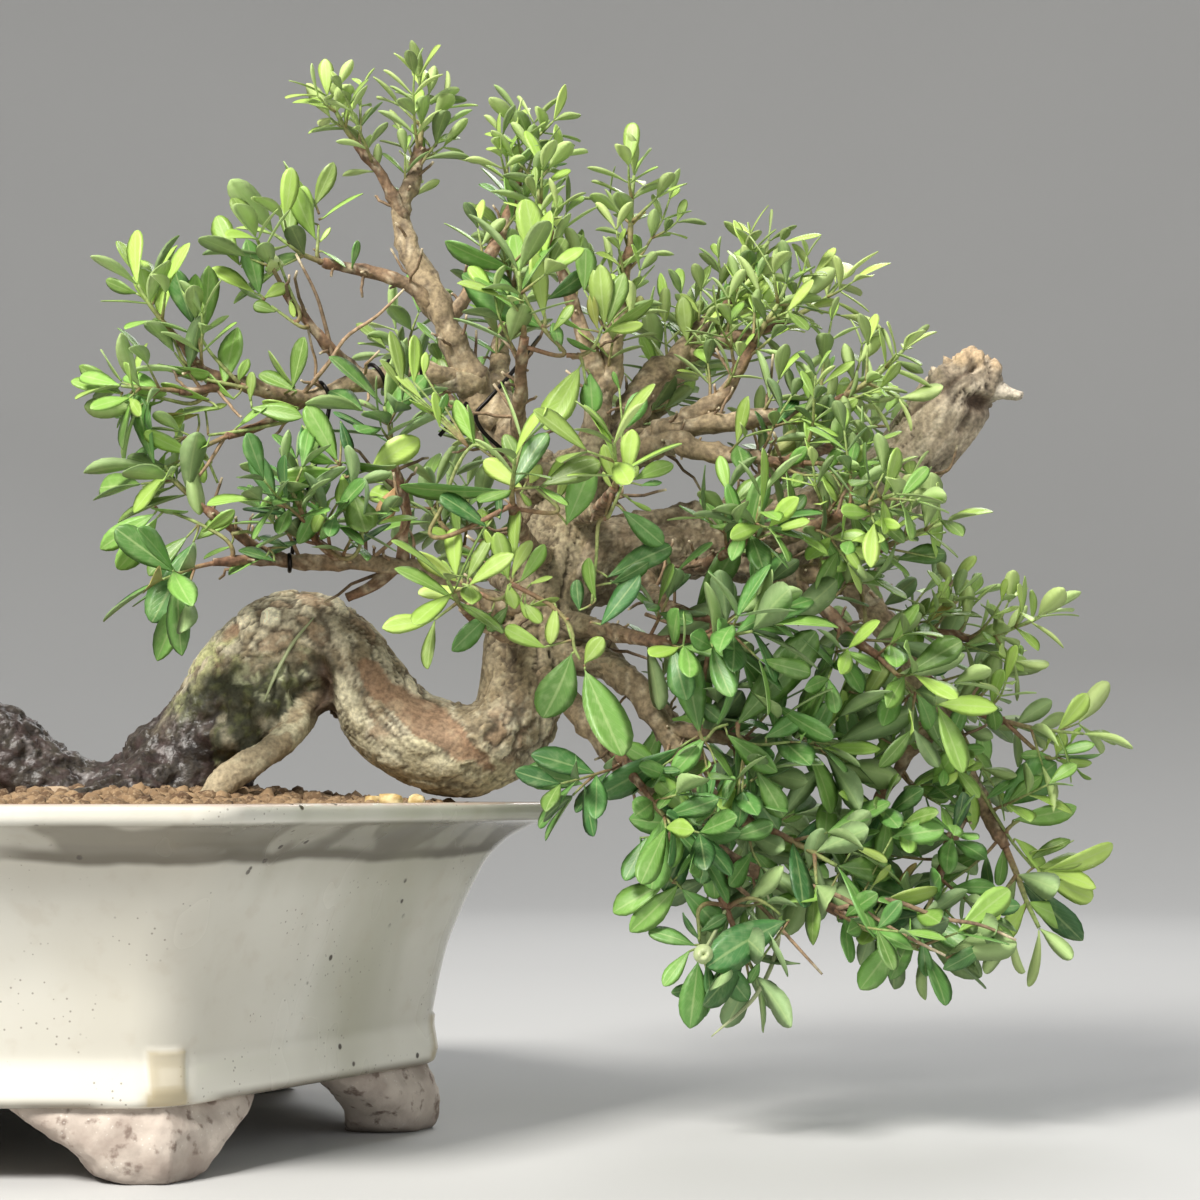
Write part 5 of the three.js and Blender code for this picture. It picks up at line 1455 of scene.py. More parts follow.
def blade_template():
    """Faces of one leaf: points are base, tip, then for each station five above and one below."""
    count = len(STATIONS)
    first = 2 + 6 * np.arange(count)
    top, under, top_ends, under_ends = [], [], [], []
    for k in range(count - 1):
        a, b = first[k], first[k + 1]
        top += [(a + j, a + j + 1, b + j + 1, b + j) for j in range(4)]
        under += [(a + 4, a + 5, b + 5, b + 4), (a + 5, a, b, b + 5)]
    a, b = first[0], first[-1]
    top_ends += [(0, a + j + 1, a + j) for j in range(4)] + [(b + j, b + j + 1, 1) for j in range(4)]
    under_ends += [(0, a + 5, a + 4), (0, a, a + 5), (b + 4, b + 5, 1), (b + 5, b, 1)]
    return tuple(np.array(faces) for faces in (top, under, top_ends, under_ends))


BLADE_FACES = blade_template()
BLADE_POINTS = 2 + 6 * len(STATIONS)


def blades(leaves, random):
    """Grids of all leaves: along the heading by the station, across by the width, and up by fold and lens.

    Half width = half of W times u^0.8 (1 - u^2.6)^b over its largest value, with u from the stalk's end to
    the tip, and b small for a blunt tip. The middle line droops and curls with the square of the station,
    and the blade twists along it.
    """
    root, heading, face, size, young, broad = (np.array(part) for part in zip(*leaves))
    count = len(root)
    wide = np.cross(face, heading)
    width = random.uniform(0.35, 0.46, count) * (1.04 - 0.16 * np.clip(young, 0, 1))
    width = np.where(broad > 0, broad, width)
    blunt = random.uniform(0.5, 0.85, count)[:, None]
    droop = random.uniform(0.02, 0.2, count)
    fold = random.uniform(0.02, 0.34, count)
    twist = random.normal(0, 0.25, count)
    curl = random.normal(0, 0.05, count)
    s = np.concatenate([[0.0, 1.0], np.repeat(STATIONS, 6)])
    v = np.concatenate([[0.0, 0.0], np.tile(np.concatenate([ACROSS, [0.0]]), len(STATIONS))])
    is_under = np.concatenate([[False, False], np.tile([False] * 5 + [True], len(STATIONS))])
    u = np.clip((s - 0.05) / 0.95, 0, 1)
    outline = u[None] ** 0.8 * (1 - u[None] ** 2.6) ** blunt
    half = 0.5 * width[:, None] * size[:, None] * outline / outline.max(axis=1, keepdims=True)
    half = np.maximum(half, np.where((s > 0) & (s < 1), 0.42, 0.0)[None])
    wave = 1 + 0.04 * np.sin(9 * s[None] + random.uniform(0, 6, count)[:, None]) * np.abs(v)[None]
    lens = LEAF_THICKNESS / 2 * (1 - v**2) * np.where((s == 0) | (s == 1), 0, 1)
    rib = MIDRIB * (v == 0) * (s > 0) * (s < 1) * (1.2 - s)
    lift = np.where(is_under, -lens - 1.3 * rib, lens - rib)[None] + fold[:, None] * np.abs(v)[None] * half
    turn = twist[:, None] * s[None]
    along = size[:, None] * s[None]
    side_vector = wide[:, None] * np.cos(turn)[..., None] + face[:, None] * np.sin(turn)[..., None]
    face_vector = face[:, None] * np.cos(turn)[..., None] - wide[:, None] * np.sin(turn)[..., None]
    points = root[:, None] + heading[:, None] * along[..., None]
    points = points - face[:, None] * (droop[:, None] * size[:, None] * s[None] ** 2)[..., None]
    points = points + wide[:, None] * (curl[:, None] * size[:, None] * s[None] ** 2)[..., None]
    points = points + side_vector * (v[None] * half * wave)[..., None] + face_vector * lift[..., None]
    tone = np.stack([
        np.clip(young + 0.03 + random.normal(0, 0.12, count), 0, 1), random.uniform(0, 1, count),
        (random.uniform(0, 1, count) > 0.993) * random.uniform(0.4, 0.9, count), np.ones(count),
    ], axis=1)
    uv = np.broadcast_to(np.column_stack([s, 0.5 + 0.5 * v]), (count, BLADE_POINTS, 2))
    offset = (np.arange(count) * BLADE_POINTS)[:, None, None]
    faces = [(template[None] + offset).reshape(-1, template.shape[1]) for template in BLADE_FACES]
    return points.reshape(-1, 3), faces, np.repeat(tone, BLADE_POINTS, axis=0), uv.reshape(-1, 2)


# %% [markdown]
# The leaf's finish. Old leaves are a deep, slightly blue green, and the youngest a bright yellow green, so
# one number on the mesh slides along that range. A second number makes a leaf lighter or darker, and a
# third turns a few of them bronze. The midrib is a pale line, the side veins are a faint slanting pattern,
# and the skin is leathery, with a soft gloss. The underside is paler and dull.


# %% Leaf finishes
def leaf_finish(name, stops, roughness, vein_share):
    """The colour is a ramp over the leaf's age, changed by its shade, its veins and a little mottling."""
    leaf = Finish(name, roughness=roughness)
    age, shade, bronze = leaf.tones()
    ramp = leaf.add("ShaderNodeValToRGB", {"Fac": age})
    ramp.color_ramp.elements[0].position = 0.0
    ramp.color_ramp.elements[0].color = (*stops[0][1], 1)
    ramp.color_ramp.elements[1].position = stops[-1][0]
    ramp.color_ramp.elements[1].color = (*stops[-1][1], 1)
    for position, colour in stops[1:-1]:
        ramp.color_ramp.elements.new(position).color = (*colour, 1)
    colour = ramp.outputs["Color"]
    colour = leaf.mix(leaf.times(shade, shade, 0.62), colour, (0.01, 0.045, 0.012))
    mottle = leaf.noise(330.0, detail=2.0)
    lighter = leaf.mix(0.35, colour, (0.75, 0.85, 0.45))
    colour = leaf.mix(leaf.times(leaf.step(mottle, 0.45, 0.75), 0.35), colour, lighter)
    colour = leaf.mix(bronze, colour, (0.42, 0.27, 0.07))
    uv_map = leaf.add("ShaderNodeUVMap", {}, uv_map="UVMap")
    uv = leaf.add("ShaderNodeSeparateXYZ", {"Vector": uv_map.outputs[0]})
    aside = leaf.math("ABSOLUTE", leaf.math("SUBTRACT", uv.outputs["Y"], 0.5))
    midrib = leaf.step(aside, 0.055, 0.015)
    slant = leaf.math("SUBTRACT", leaf.times(uv.outputs["X"], 62.0), leaf.times(aside, 44.0))
    vein = leaf.step(leaf.math("SINE", slant), 0.72, 0.98)
    colour = leaf.mix(leaf.times(midrib, vein_share), colour, (0.50, 0.62, 0.27))
    colour = leaf.mix(leaf.times(vein, vein_share * 0.16), colour, (0.50, 0.62, 0.27))
    gloss = leaf.math("ADD", roughness - 0.06, leaf.times(mottle, 0.16))
    return leaf.finish(colour, gloss, vein, depth_mm=0.06, strength=0.5)


leaf_top = leaf_finish("leaf_top", [
    (0.0, (0.070, 0.215, 0.060)), (0.28, (0.175, 0.395, 0.080)), (0.6, (0.390, 0.600, 0.105)),
    (1.0, (0.530, 0.690, 0.165)),
], roughness=0.4, vein_share=0.34)
leaf_under = leaf_finish("leaf_under", [
    (0.0, (0.250, 0.390, 0.180)), (0.5, (0.390, 0.550, 0.205)), (1.0, (0.600, 0.730, 0.265)),
], roughness=0.62, vein_share=0.3)

# %% [markdown]
# Now the shoots themselves. For each limb: the length of its end shoot, the length of its leaves, how
# strongly it turns up, how young its leaves are, and then how many more twigs grow from the limb, and from
# which share of its length on. The left side is thin, and its limbs show. The crown and the cascade at the
# right are full.

# %% Shoots
SHOOTS = {
    "apex": (21, 14, 0.5, 0.7, 5, 0.72), "apex_left": (18, 13, 0.5, 0.7, 3, 0.35),
    "apex_right": (22, 15, 0.5, 0.65, 5, 0.35), "upper_left": (18, 20, 0.5, 0.6, 0, 0.8),
    "mid_left": (20, 17, 0.2, 0.45, 1, 0.85), "mid_left_tip": (18, 17, 0, 0.35, 1, 0.5),
    "mid_left_rise": (16, 19, 0.5, 0.5, 0, 0.6), "mid_left_low": (20, 17, 0, 0.35, 0, 0.4),
    "arch": (20, 21, -0.1, 0.3, 0, 0.86), "arch_low": (20, 22, -0.2, 0.15, 0, 0.3),
    "arch_inner": (17, 17, 0.2, 0.2, 6, 0.0), "arch_rise": (18, 20, 0.4, 0.2, 0, 0.8),
    "front_low": (20, 20, 0.2, 0.6, 0, 0.6), "front_mid": (20, 19, 0.4, 0.45, 0, 0.6),
    "front_high": (22, 20, 0.4, 0.6, 0, 0.6), "front_top": (22, 20, 0.5, 0.45, 1, 0.8),
    "upright": (24, 14, 0.5, 0.65, 8, 0.45), "upright_left": (24, 15, 0.5, 0.6, 5, 0.4),
    "right_rise": (24, 14, 0.4, 0.8, 8, 0.55), "right_rise_out": (22, 15, 0.3, 0.9, 6, 0.25),
    "right_mid": (22, 15, 0.3, 0.6, 6, 0.6), "right_long": (24, 15, 0.2, 0.65, 8, 0.5),
    "right_low": (22, 15, 0.1, 0.4, 6, 0.6), "stub_front": (22, 15, 0.2, 0.5, 5, 0.55),
    "low_front": (22, 24, 0, 0.15, 4, 0.5), "low_mid": (22, 22, 0, 0.1, 1, 0.6),
    "cascade_a": (24, 23, -0.1, 0.15, 6, 0.5), "cascade_a_fork": (22, 23, 0, 0.2, 4, 0.35),
    "cascade_b": (22, 22, -0.1, 0.05, 3, 0.6), "cascade_in": (18, 20, 0, 0.05, 1, 0.5),
    "cascade_b_out": (26, 21, 0.1, 0.2, 4, 0.3), "heavy_front": (18, 18, 0.3, 0.3, 3, 0.5),
    "shoot": (22, 16, 0.2, 0.55, 6, 0.45), "shoot_low": (24, 20, 0, 0.3, 4, 0.35),
    "right_down": (28, 19, 0.1, 0.4, 7, 0.35), "right_down_high": (24, 15, 0.3, 0.65, 6, 0.3),
    "right_down_mid": (26, 18, 0.2, 0.5, 4, 0.3), "right_down_in": (24, 21, 0, 0.25, 5, 0.3),
    "right_down_low": (24, 21, 0, 0.2, 4, 0.25), "back_low": (26, 20, 0.2, 0.35, 6, 0.4),
    "back_left": (28, 18, 0.3, 0.45, 8, 0.4), "back_top": (26, 18, 0.4, 0.5, 6, 0.35),
    "back_mid": (28, 18, 0.3, 0.45, 9, 0.4), "back_right": (26, 17, 0.2, 0.45, 7, 0.4),
    "back_far": (28, 20, 0, 0.3, 7, 0.35), "back_cascade": (28, 22, -0.1, 0.2, 8, 0.45),
}
GOLDEN_TURN = math.pi * (3 - math.sqrt(5))
NODE_LENGTH = 5.6
NODE_EXTRA = 2.6
SIDE_TWIG_SHARE = 0.45
TWIG_GIRTH = 0.62
SIDE_TWIG_GIRTH = 0.5

# %% [markdown]
# Some leaves stand out in the photograph: a spray at the left tip, the bright rosettes in front of the
# trunk, two long leaves that hang in the gap, and the star of leaves round the fruit. These are placed one
# by one, from where their stalk and their tip are seen, in millimetres on the pot's middle plane. A leaf
# still needs a depth: it takes that of its limb, and a thin stalk joins it to the limb's wood.

# %% Leaves that stand out
SPRAY_GIRTH = 0.85
STALK_GIRTH = 0.42
TOUCHING = 0.6
# For each limb: its depth, then stems, each as points, and then leaves. A point is x and z as seen on the
# middle plane. A leaf is its stalk's point, its tip's point, how far the blade is rolled out of the picture
# (degrees), how young it is, and its width as a share of its length where that is an unusual one
MARKED = {
    "upper_left": (-16, [[(91.4, 283.2), (91.3, 290.6), (91.6, 299.4)]], [
        (90.7, 290.6, 81.9, 308.2, 10, 0.45), (90, 295.7, 85.8, 308.9, 30, 0.6),
        (89.9, 301.8, 96.8, 316.7, 8, 0.65), (92.6, 297.7, 105.2, 308.2, 74, 0.4),
        (87.9, 306.8, 78.8, 317, 50, 0.55), (92.7, 286.9, 100.7, 282.5, 76, 0.4),
        (92, 290, 95.6, 294.7, 30, 0.8), (102.7, 281.2, 104.3, 290.6, 30, 0.3),
    ]),
    "mid_left_rise": (-30, [
        [(86.98, 261.04), (79.65, 265.74), (73.63, 270.44)],
        [(85.63, 264.4), (82.22, 273.8), (75.4, 290.63)],
    ], [
        (65.54, 281.87, 55.7, 298.73, 8, 0.5), (72.29, 271.78, 67.43, 290.63, 15, 0.4),
        (70.96, 272.45, 56.57, 282.54, 38, 0.5), (73.63, 271.11, 80.87, 275.81, 15, 0.7, 0.5),
        (77.65, 266.41, 70.33, 269.43, 10, 0.7, 0.6), (65.53, 282.54, 68.77, 289.28, 30, 0.55),
        (72.97, 270.44, 62.95, 276.49, 60, 0.45), (82.25, 270.44, 83.63, 265.07, 20, 0.75),
    ]),
    "mid_left": (-36, [
        [(66, 242.3), (56, 253), (49.9, 263.1)], [(48.7, 248.3), (43.3, 258.4), (36.5, 268.4)],
        [(52.9, 236.3), (39.6, 237.6), (27.1, 239.3)], [(69.3, 241), (52.8, 244.3), (34.2, 249)],
    ], [
        (50.5, 261.7, 43.6, 281.2, 12, 0.3, 0.44), (51.9, 261.7, 49, 279.2, 55, 0.4),
        (53.9, 259.7, 55.9, 281.9, 40, 0.4), (36.2, 267.8, 33, 281.2, 5, 0.6, 0.62),
        (32.4, 278.5, 24.3, 290.6, 25, 0.55), (37.8, 275.1, 43.5, 290, 45, 0.6),
        (31.8, 272.5, 20.5, 276.5, 40, 0.35), (30.4, 277.8, 21.1, 281.9, 78, 0.35),
        (27.1, 239.3, 12, 247.7, 15, 0.55), (26.4, 239, 10.1, 244, 45, 0.5),
        (25.8, 237.3, 41.6, 240.3, 55, 0.6), (40.3, 236.3, 26.5, 234.3, 60, 0.4),
        (37, 235.6, 33.5, 228.6, 40, 0.5), (31, 241.6, 33.4, 257, 58, 0.65),
        (60.7, 241.6, 63.8, 261.7, 20, 0.3), (65.3, 243, 67.9, 251, 25, 0.4),
        (69.4, 236.3, 69.9, 246.3, 30, 0.65), (38.8, 249, 54.8, 244.3, 62, 0.4),
        (69.4, 234.3, 86.6, 232.3, 15, 0.5), (85.2, 239.6, 72.2, 246.3, 40, 0.45),
        (84.5, 241, 73.2, 251.7, 72, 0.5), (83.2, 240.3, 87.7, 257.7, 45, 0.45),
        (48, 253.7, 49.3, 257, 30, 0.5), (56.2, 237, 39.6, 241, 55, 0.5),
        (59.5, 234.3, 43, 233.6, 62, 0.45), (64.4, 237, 52.7, 246.3, 50, 0.6),
    ]),
    "mid_left_low": (-33, [
        [(82.7, 230.3), (66.2, 226.6), (47.8, 224.3)], [(49.7, 223.6), (55.1, 218.3), (61.9, 201.7)],
    ], [
        (41.8, 223, 30.7, 217.3, 42, 0.5), (41.9, 219.6, 38.1, 210.3, 42, 0.55),
        (51.1, 221, 53.9, 210.3, 15, 0.5), (45.1, 224.3, 46, 234.3, 35, 0.6),
        (52.9, 232.3, 39.1, 229.6, 60, 0.5), (64.9, 227.6, 75.3, 235.6, 55, 0.5),
        (57.1, 215.7, 49.8, 222.3, 40, 0.4), (54.2, 233, 61.5, 236.3, 50, 0.5),
        (85.9, 234.3, 73.4, 236.3, 45, 0.6),
    ]),
    "arch": (-38, [
        [(64, 192.5), (69.9, 193.1), (75.9, 187.8)], [(52, 203.7), (44, 211.7), (39.9, 217.7)],
    ], [
        (52.2, 190.5, 63.9, 199.7, 25, 0.4), (75.9, 185.2, 62.1, 181.6, 55, 0.2),
        (78.6, 183.2, 66.7, 188.5, 45, 0.25), (64, 188.5, 54.5, 184.5, 55, 0.3),
        (83.1, 187.8, 73.8, 193.1, 60, 0.15), (44, 208, 32.9, 203.4, 70, 0.3),
    ]),
    "arch_low": (-45, [[(64, 188.5), (52.1, 196.4), (38.9, 201.4)]], [
        (38.9, 199.4, 19.7, 187.8, 28, 0.3, 0.34), (39.6, 198.4, 28, 179.9, 35, 0.2),
        (49.5, 191.8, 36.2, 179.2, 30, 0.45), (51.5, 190.1, 38.8, 164.1, 12, 0.12),
        (36.9, 201.1, 48.8, 197.8, 65, 0.35), (54.1, 193.1, 65.2, 199.7, 30, 0.4),
    ]),
    "arch_inner": (-46, [[(103.5, 183.9), (106.7, 197.1), (99.3, 215)], [(106.7, 190.5), (104.7, 200.4)]], [
        (98.6, 216.3, 88.9, 235.6, 20, 0.38), (98, 215.7, 85.7, 219.6, 25, 0.4),
        (99.6, 216.3, 117.1, 212.7, 50, 0.4), (109.2, 213.7, 124.3, 225.6, 5, 0.38, 0.5),
        (99.3, 213.7, 79.6, 209, 25, 0.35), (100, 212.3, 101.4, 200.4, 8, 0.42, 0.55),
        (103.3, 206.4, 108, 193.4, 5, 0.4, 0.72), (92.1, 213, 71.8, 197.1, 62, 0.4),
        (86.2, 207.7, 86.9, 197.8, 20, 0.12, 0.55), (96.8, 204.4, 89, 194.4, 45, 0.6),
        (92.2, 203.7, 87.7, 188.5, 30, 0.3), (81.6, 207.7, 73.8, 200.4, 25, 0.15),
        (111.2, 205, 119.2, 200.4, 55, 0.6), (98.8, 200.4, 93.6, 190.5, 40, 0.3),
        (86.6, 229, 88.1, 216.3, 30, 0.02), (99.2, 230.3, 103.2, 219, 30, 0.02),
    ]),
    "front_low": (-52, [
        [(145.61, 173.32), (139.69, 175.95)], [(152.19, 170.68), (156.11, 175.95)],
        [(173.85, 164.76), (176.81, 154.25), (179.76, 149.01)], [(173.85, 164.76), (175.82, 157.53)],
    ], [
        (138.38, 176.61, 124.52, 186.84, 22, 0.8), (137.71, 177.93, 136.65, 194.44, 18, 0.75),
        (141.33, 177.27, 148.17, 191.14, 20, 0.72), (141.01, 174.64, 125.93, 171.34, 18, 0.8),
        (139.02, 178.59, 142.29, 183.21, 5, 0.85), (136.39, 179.91, 133.09, 183.87, 30, 0.8),
        (154.79, 177.27, 152.11, 193.12, 20, 0.78), (156.1, 178.26, 160.67, 190.47, 30, 0.72),
        (152.47, 183.87, 146.85, 193.45, 50, 0.78), (157.07, 183.21, 156.69, 201.72, 45, 0.75),
        (154.13, 178.59, 147.87, 184.86, 35, 0.78), (158.73, 176.61, 167.25, 188.49, 30, 0.4),
        (154.8, 175.95, 156.79, 167.72, 5, 0.8, 0.6), (160.06, 169.7, 165, 163.45, 5, 0.82, 0.55),
        (154.82, 168.71, 148.62, 160.16, 25, 0.3, 0.5), (149.58, 166.74, 136.19, 154.58, 30, 0.3),
        (167.31, 154.91, 153.53, 160.82, 22, 0.5), (170.56, 169.37, 168.62, 156.22, 25, 0.75),
        (161.38, 168.71, 171.87, 171.01, 60, 0.7), (175.83, 153.6, 169.31, 131.34, 5, 0.32, 0.55),
        (179.76, 148.35, 191.53, 119.6, 8, 0.28), (179.76, 149.66, 185.66, 158.19, 10, 0.82, 0.6),
        (158.75, 170.68, 161.39, 164.76, 20, 0.5), (162.02, 175.95, 169.24, 178.59, 40, 0.7),
    ]),
    "front_mid": (-54, [
        [(171.8, 199.7), (166.9, 205), (161.3, 210.3)],
        [(129.1, 190.5), (134, 203.7), (142.1, 221.6), (149.4, 219.6)],
    ], [
        (160, 207, 146.8, 217.3, 22, 0.8), (160, 211, 154.6, 226.3, 12, 0.5),
        (160.6, 212.3, 165.2, 221.6, 35, 0.78), (161.9, 209, 165.2, 215.7, 5, 0.82, 0.6),
        (166.6, 207.7, 172.5, 217.7, 20, 0.5), (170.5, 203, 175.1, 213.7, 20, 0.75),
        (173.8, 195.1, 182.7, 215.7, 12, 0.1), (154, 207, 119.5, 204.7, 48, 0.15, 0.3),
        (148.2, 194.4, 133.6, 206.4, 40, 0.02), (152.1, 197.1, 151.4, 206.4, 40, 0.05),
        (158.7, 206.4, 162, 201.7, 30, 0.8), (144.1, 222.3, 136.1, 237, 25, 0.4),
        (143.4, 221.6, 142.1, 235.6, 60, 0.35), (132.2, 227.6, 130.1, 239.6, 45, 0.55),
        (134.2, 231, 121.6, 236.3, 60, 0.5), (126.2, 237, 117.5, 248.3, 45, 0.6),
        (119.6, 241.6, 117.5, 260.4, 40, 0.72), (123.5, 242.3, 123.4, 259, 25, 0.7),
        (118.9, 241, 113.5, 251, 50, 0.7), (126.8, 245, 127.4, 253, 20, 0.7),
        (130.9, 230.3, 134.8, 239, 30, 0.4),
    ]),
    "front_high": (-54, [
        [(187, 197.1), (190.9, 205), (192.9, 211)], [(185, 197.1), (183.7, 183.9), (181.1, 157.5)],
    ], [
        (190.3, 209, 185.3, 221.6, 42, 0.75), (194.2, 211.7, 195.2, 227.3, 15, 0.7),
        (196.2, 210.3, 209.1, 216.7, 28, 0.7), (193.6, 210.3, 197.5, 215, 5, 0.8, 0.7),
        (189.6, 207, 185, 212.3, 40, 0.75), (198.2, 208.4, 205.4, 210.3, 50, 0.5),
        (185, 162.1, 198.5, 178.6, 15, 0), (187, 177.9, 208.3, 190.1, 22, 0.08),
        (191.6, 226.3, 200.2, 238.3, 12, 0.2), (192.2, 200.4, 206, 189.2, 15, 0.25),
        (194.9, 203.7, 201.5, 199.7, 45, 0.7), (178.4, 166.7, 176.5, 177.3, 25, 0.1),
        (191.6, 240.3, 189, 246.3, 40, 0.2), (188.3, 176, 201.4, 181.9, 45, 0.25),
        (183.7, 170.7, 179.7, 183.9, 50, 0.35),
    ]),
    "front_top": (-44, [
        [(173.8, 251.7), (166.5, 260.4), (159.1, 273.8), (156.5, 283.2)], [(181.7, 253), (185.7, 261.7)],
        [(166.8, 261.7), (163.8, 277.2)], [(178.4, 251.7), (180.4, 242.3)],
    ], [
        (167.1, 260.4, 138.9, 279.2, 22, 0.15), (156.5, 280.5, 132.9, 288.3, 48, 0.25),
        (163.8, 279.9, 162.4, 304.8, 18, 0.65), (158.5, 279.2, 157.1, 292.7, 8, 0.4, 0.55),
        (166.1, 283.2, 167, 300.8, 40, 0.6), (168.4, 281.2, 173, 291.3, 8, 0.65, 0.6),
        (166.5, 263.7, 163.8, 286.6, 38, 0.72), (167.1, 270.4, 182.3, 279.9, 42, 0.25),
        (169.1, 259.7, 176.4, 268.4, 40, 0.4), (186.7, 261.7, 184.3, 282.5, 22, 0.72),
        (187.6, 261.7, 192.3, 279.9, 15, 0.72), (184.3, 260.4, 181, 272.5, 28, 0.68),
        (187, 260.4, 198.9, 261, 12, 0.75), (185.7, 259, 202.2, 270.4, 50, 0.5),
        (179.7, 273.1, 181, 287.9, 8, 0.3, 0.5), (178.4, 248.3, 168.5, 227, 8, 0.4, 0.42),
        (181.7, 246.3, 182.4, 233, 5, 0.2, 0.62), (171.8, 253, 170.4, 263.1, 30, 0.2),
        (179, 260.4, 171.8, 264.4, 50, 0.35), (163.1, 290.6, 165.1, 299.4, 20, 0.35),
        (183.7, 253, 173.7, 257, 55, 0.3),
    ]),
    "cascade_in": (-38, [[(207.2, 98.8), (214.3, 98.1), (218.2, 98.1)], [(205.8, 85.2), (208.4, 78.7)]], [
        (207.4, 79.4, 188.9, 69, 30, 0.2), (210.7, 78.1, 195.4, 61.9, 12, 0.15),
        (211.3, 76.8, 225.2, 62.6, 15, 0.15), (209.7, 80, 216.9, 89.1, 45, 0.2),
        (200.6, 93.6, 192.8, 79.4, 25, 0.08), (203.2, 92.3, 208.4, 80.7, 35, 0.05),
        (216.9, 97.5, 194.4, 97.5, 20, 0.2), (217.6, 98.8, 202, 112.8, 15, 0.35),
        (222.8, 102, 216.2, 78.7, 15, 0.35), (221.4, 88.4, 222, 72.9, 25, 0.2),
        (198, 93.6, 200.6, 82, 60, 0.1), (217.6, 101.4, 218.9, 111.8, 30, 0.2),
    ]),
    "cascade_b": (-40, [
        [(217.5, 71), (217.1, 63.2), (217.4, 56.8)], [(233.1, 73.6), (240.2, 71), (246, 65.8)],
    ], [
        (216.1, 58.1, 201.2, 64.5, 22, 0.2), (214.2, 56.8, 205.7, 45.2, 20, 0.08),
        (216.8, 53.6, 214.1, 31.8, 12, 0.22), (221.3, 54.9, 233.2, 40.4, 15, 0.12),
        (219.4, 52.9, 221.9, 42.7, 25, 0.22), (220.6, 45.6, 208.3, 42, 15, 0.1),
        (246, 66.5, 218.7, 54.9, 8, 0.05, 0.42), (217.5, 62.6, 226.2, 67.7, 15, 0.25),
        (217.4, 60, 211, 68.4, 40, 0.15), (236.9, 53.6, 233.6, 45.6, 30, 0.05),
    ]),
    "low_mid": (-36, [[(217.7, 124.2), (222.9, 128.7), (230.1, 130.7)], [(231.4, 124.2), (247.1, 124.2)]], [
        (217.7, 126.1, 212.5, 154.9, 12, 0.2, 0.38), (228.8, 128.7, 256.8, 158.2, 22, 0.25, 0.34),
        (211.8, 122.9, 185, 105.6, 42, 0.1), (219.6, 126.1, 209.1, 113.1, 15, 0.2),
        (226.2, 126.8, 242.4, 114.1, 12, 0.28), (238.6, 125.5, 251.3, 131.7, 8, 0.2, 0.5),
        (250.3, 123.5, 257.7, 150.3, 45, 0.22), (222.8, 100.1, 227.4, 113.7, 20, 0.3),
        (229.9, 95.5, 231.9, 107.2, 10, 0.15, 0.5), (235.9, 115, 245.6, 100.1, 18, 0.25),
        (227.3, 93, 241.7, 96.2, 15, 0.2), (216.4, 137.9, 224.9, 130.7, 20, 0.15, 0.5),
        (240.6, 137.9, 258.8, 122.9, 60, 0.3), (222.9, 117.6, 220.2, 105.3, 50, 0.1),
        (202, 114.4, 211.1, 115.7, 40, 0.15),
    ]),
    "right_down": (8, [
        [(299.9, 120.9), (308.3, 109.8), (317.8, 93.6), (328.1, 80.7)], [(318.5, 96.8), (331.7, 103.3)],
    ], [
        (315.4, 103.3, 333.8, 118.3, 5, 0.22, 0.55), (319.2, 98.8, 340.4, 102, 40, 0.3),
        (327.4, 83.2, 343.1, 86.5, 15, 0.7), (328.1, 82, 353.2, 87.1, 40, 0.75),
        (321.5, 79.4, 342, 59.7, 30, 0.2), (329.4, 80, 345.5, 72.9, 30, 0.8),
        (324.9, 85.8, 337.4, 93.6, 30, 0.7), (330, 82, 346.9, 79.4, 45, 0.8),
        (319.8, 93, 331.3, 82.6, 45, 0.7), (316.5, 90.4, 315, 77.4, 25, 0.5),
        (326.8, 83.9, 331.9, 73.6, 50, 0.8), (324.9, 88.4, 339.9, 90.4, 60, 0.75),
        (304.4, 111.8, 307.4, 95.5, 35, 0.4), (299.3, 120.9, 310.4, 122.2, 15, 0.35),
        (298, 122.2, 304.7, 135.9, 12, 0.3), (297.3, 120.9, 291.6, 135.9, 25, 0.3),
        (310.5, 105.3, 321.3, 112.4, 30, 0.4),
    ]),
    "right_down_mid": (10, [[(332.5, 118.3), (334.5, 120.9)]], [
        (333.9, 119.6, 336.6, 127.4, 15, 0.6, 0.6), (333.9, 120.2, 346.3, 124.2, 20, 0.55),
        (333.9, 119.6, 348.5, 119.3, 70, 0.5), (333.8, 118.3, 345.5, 115.7, 35, 0.6),
        (331.9, 119.6, 322.8, 119.6, 15, 0.45), (340.3, 115.7, 344.2, 111.1, 60, 0.5),
        (330.6, 121.6, 332.7, 128.7, 60, 0.5), (338.5, 123.5, 341.8, 129.4, 60, 0.5),
    ]),
    "shoot": (-16, [[(272.2, 166.7), (269.5, 151), (265.5, 137.9)]], [
        (270.7, 135.9, 279.3, 152.3, 12, 0.92), (266, 130.7, 264.2, 141.1, 40, 0.8),
        (273.3, 137.9, 278, 148.4, 25, 0.9), (282.3, 183.9, 298.1, 187.8, 20, 0.5),
        (295.4, 183.9, 295, 203.7, 40, 0.55), (271.1, 185.2, 274.5, 199.7, 45, 0.4),
    ]),
    "cascade_b_out": (-26, [[(266.8, 65.8), (282.3, 58.7), (297.2, 54.2)]], [
        (311.5, 59.4, 297.1, 49.7, 18, 0.25), (289.5, 60.7, 290.6, 48.4, 20, 0.15),
        (282.3, 61.3, 269.2, 44, 15, 0.22), (276, 72.3, 295.5, 75.5, 35, 0.85),
        (273.4, 77.4, 280, 83.9, 30, 0.85), (261.6, 66.5, 275.9, 64.5, 30, 0.15),
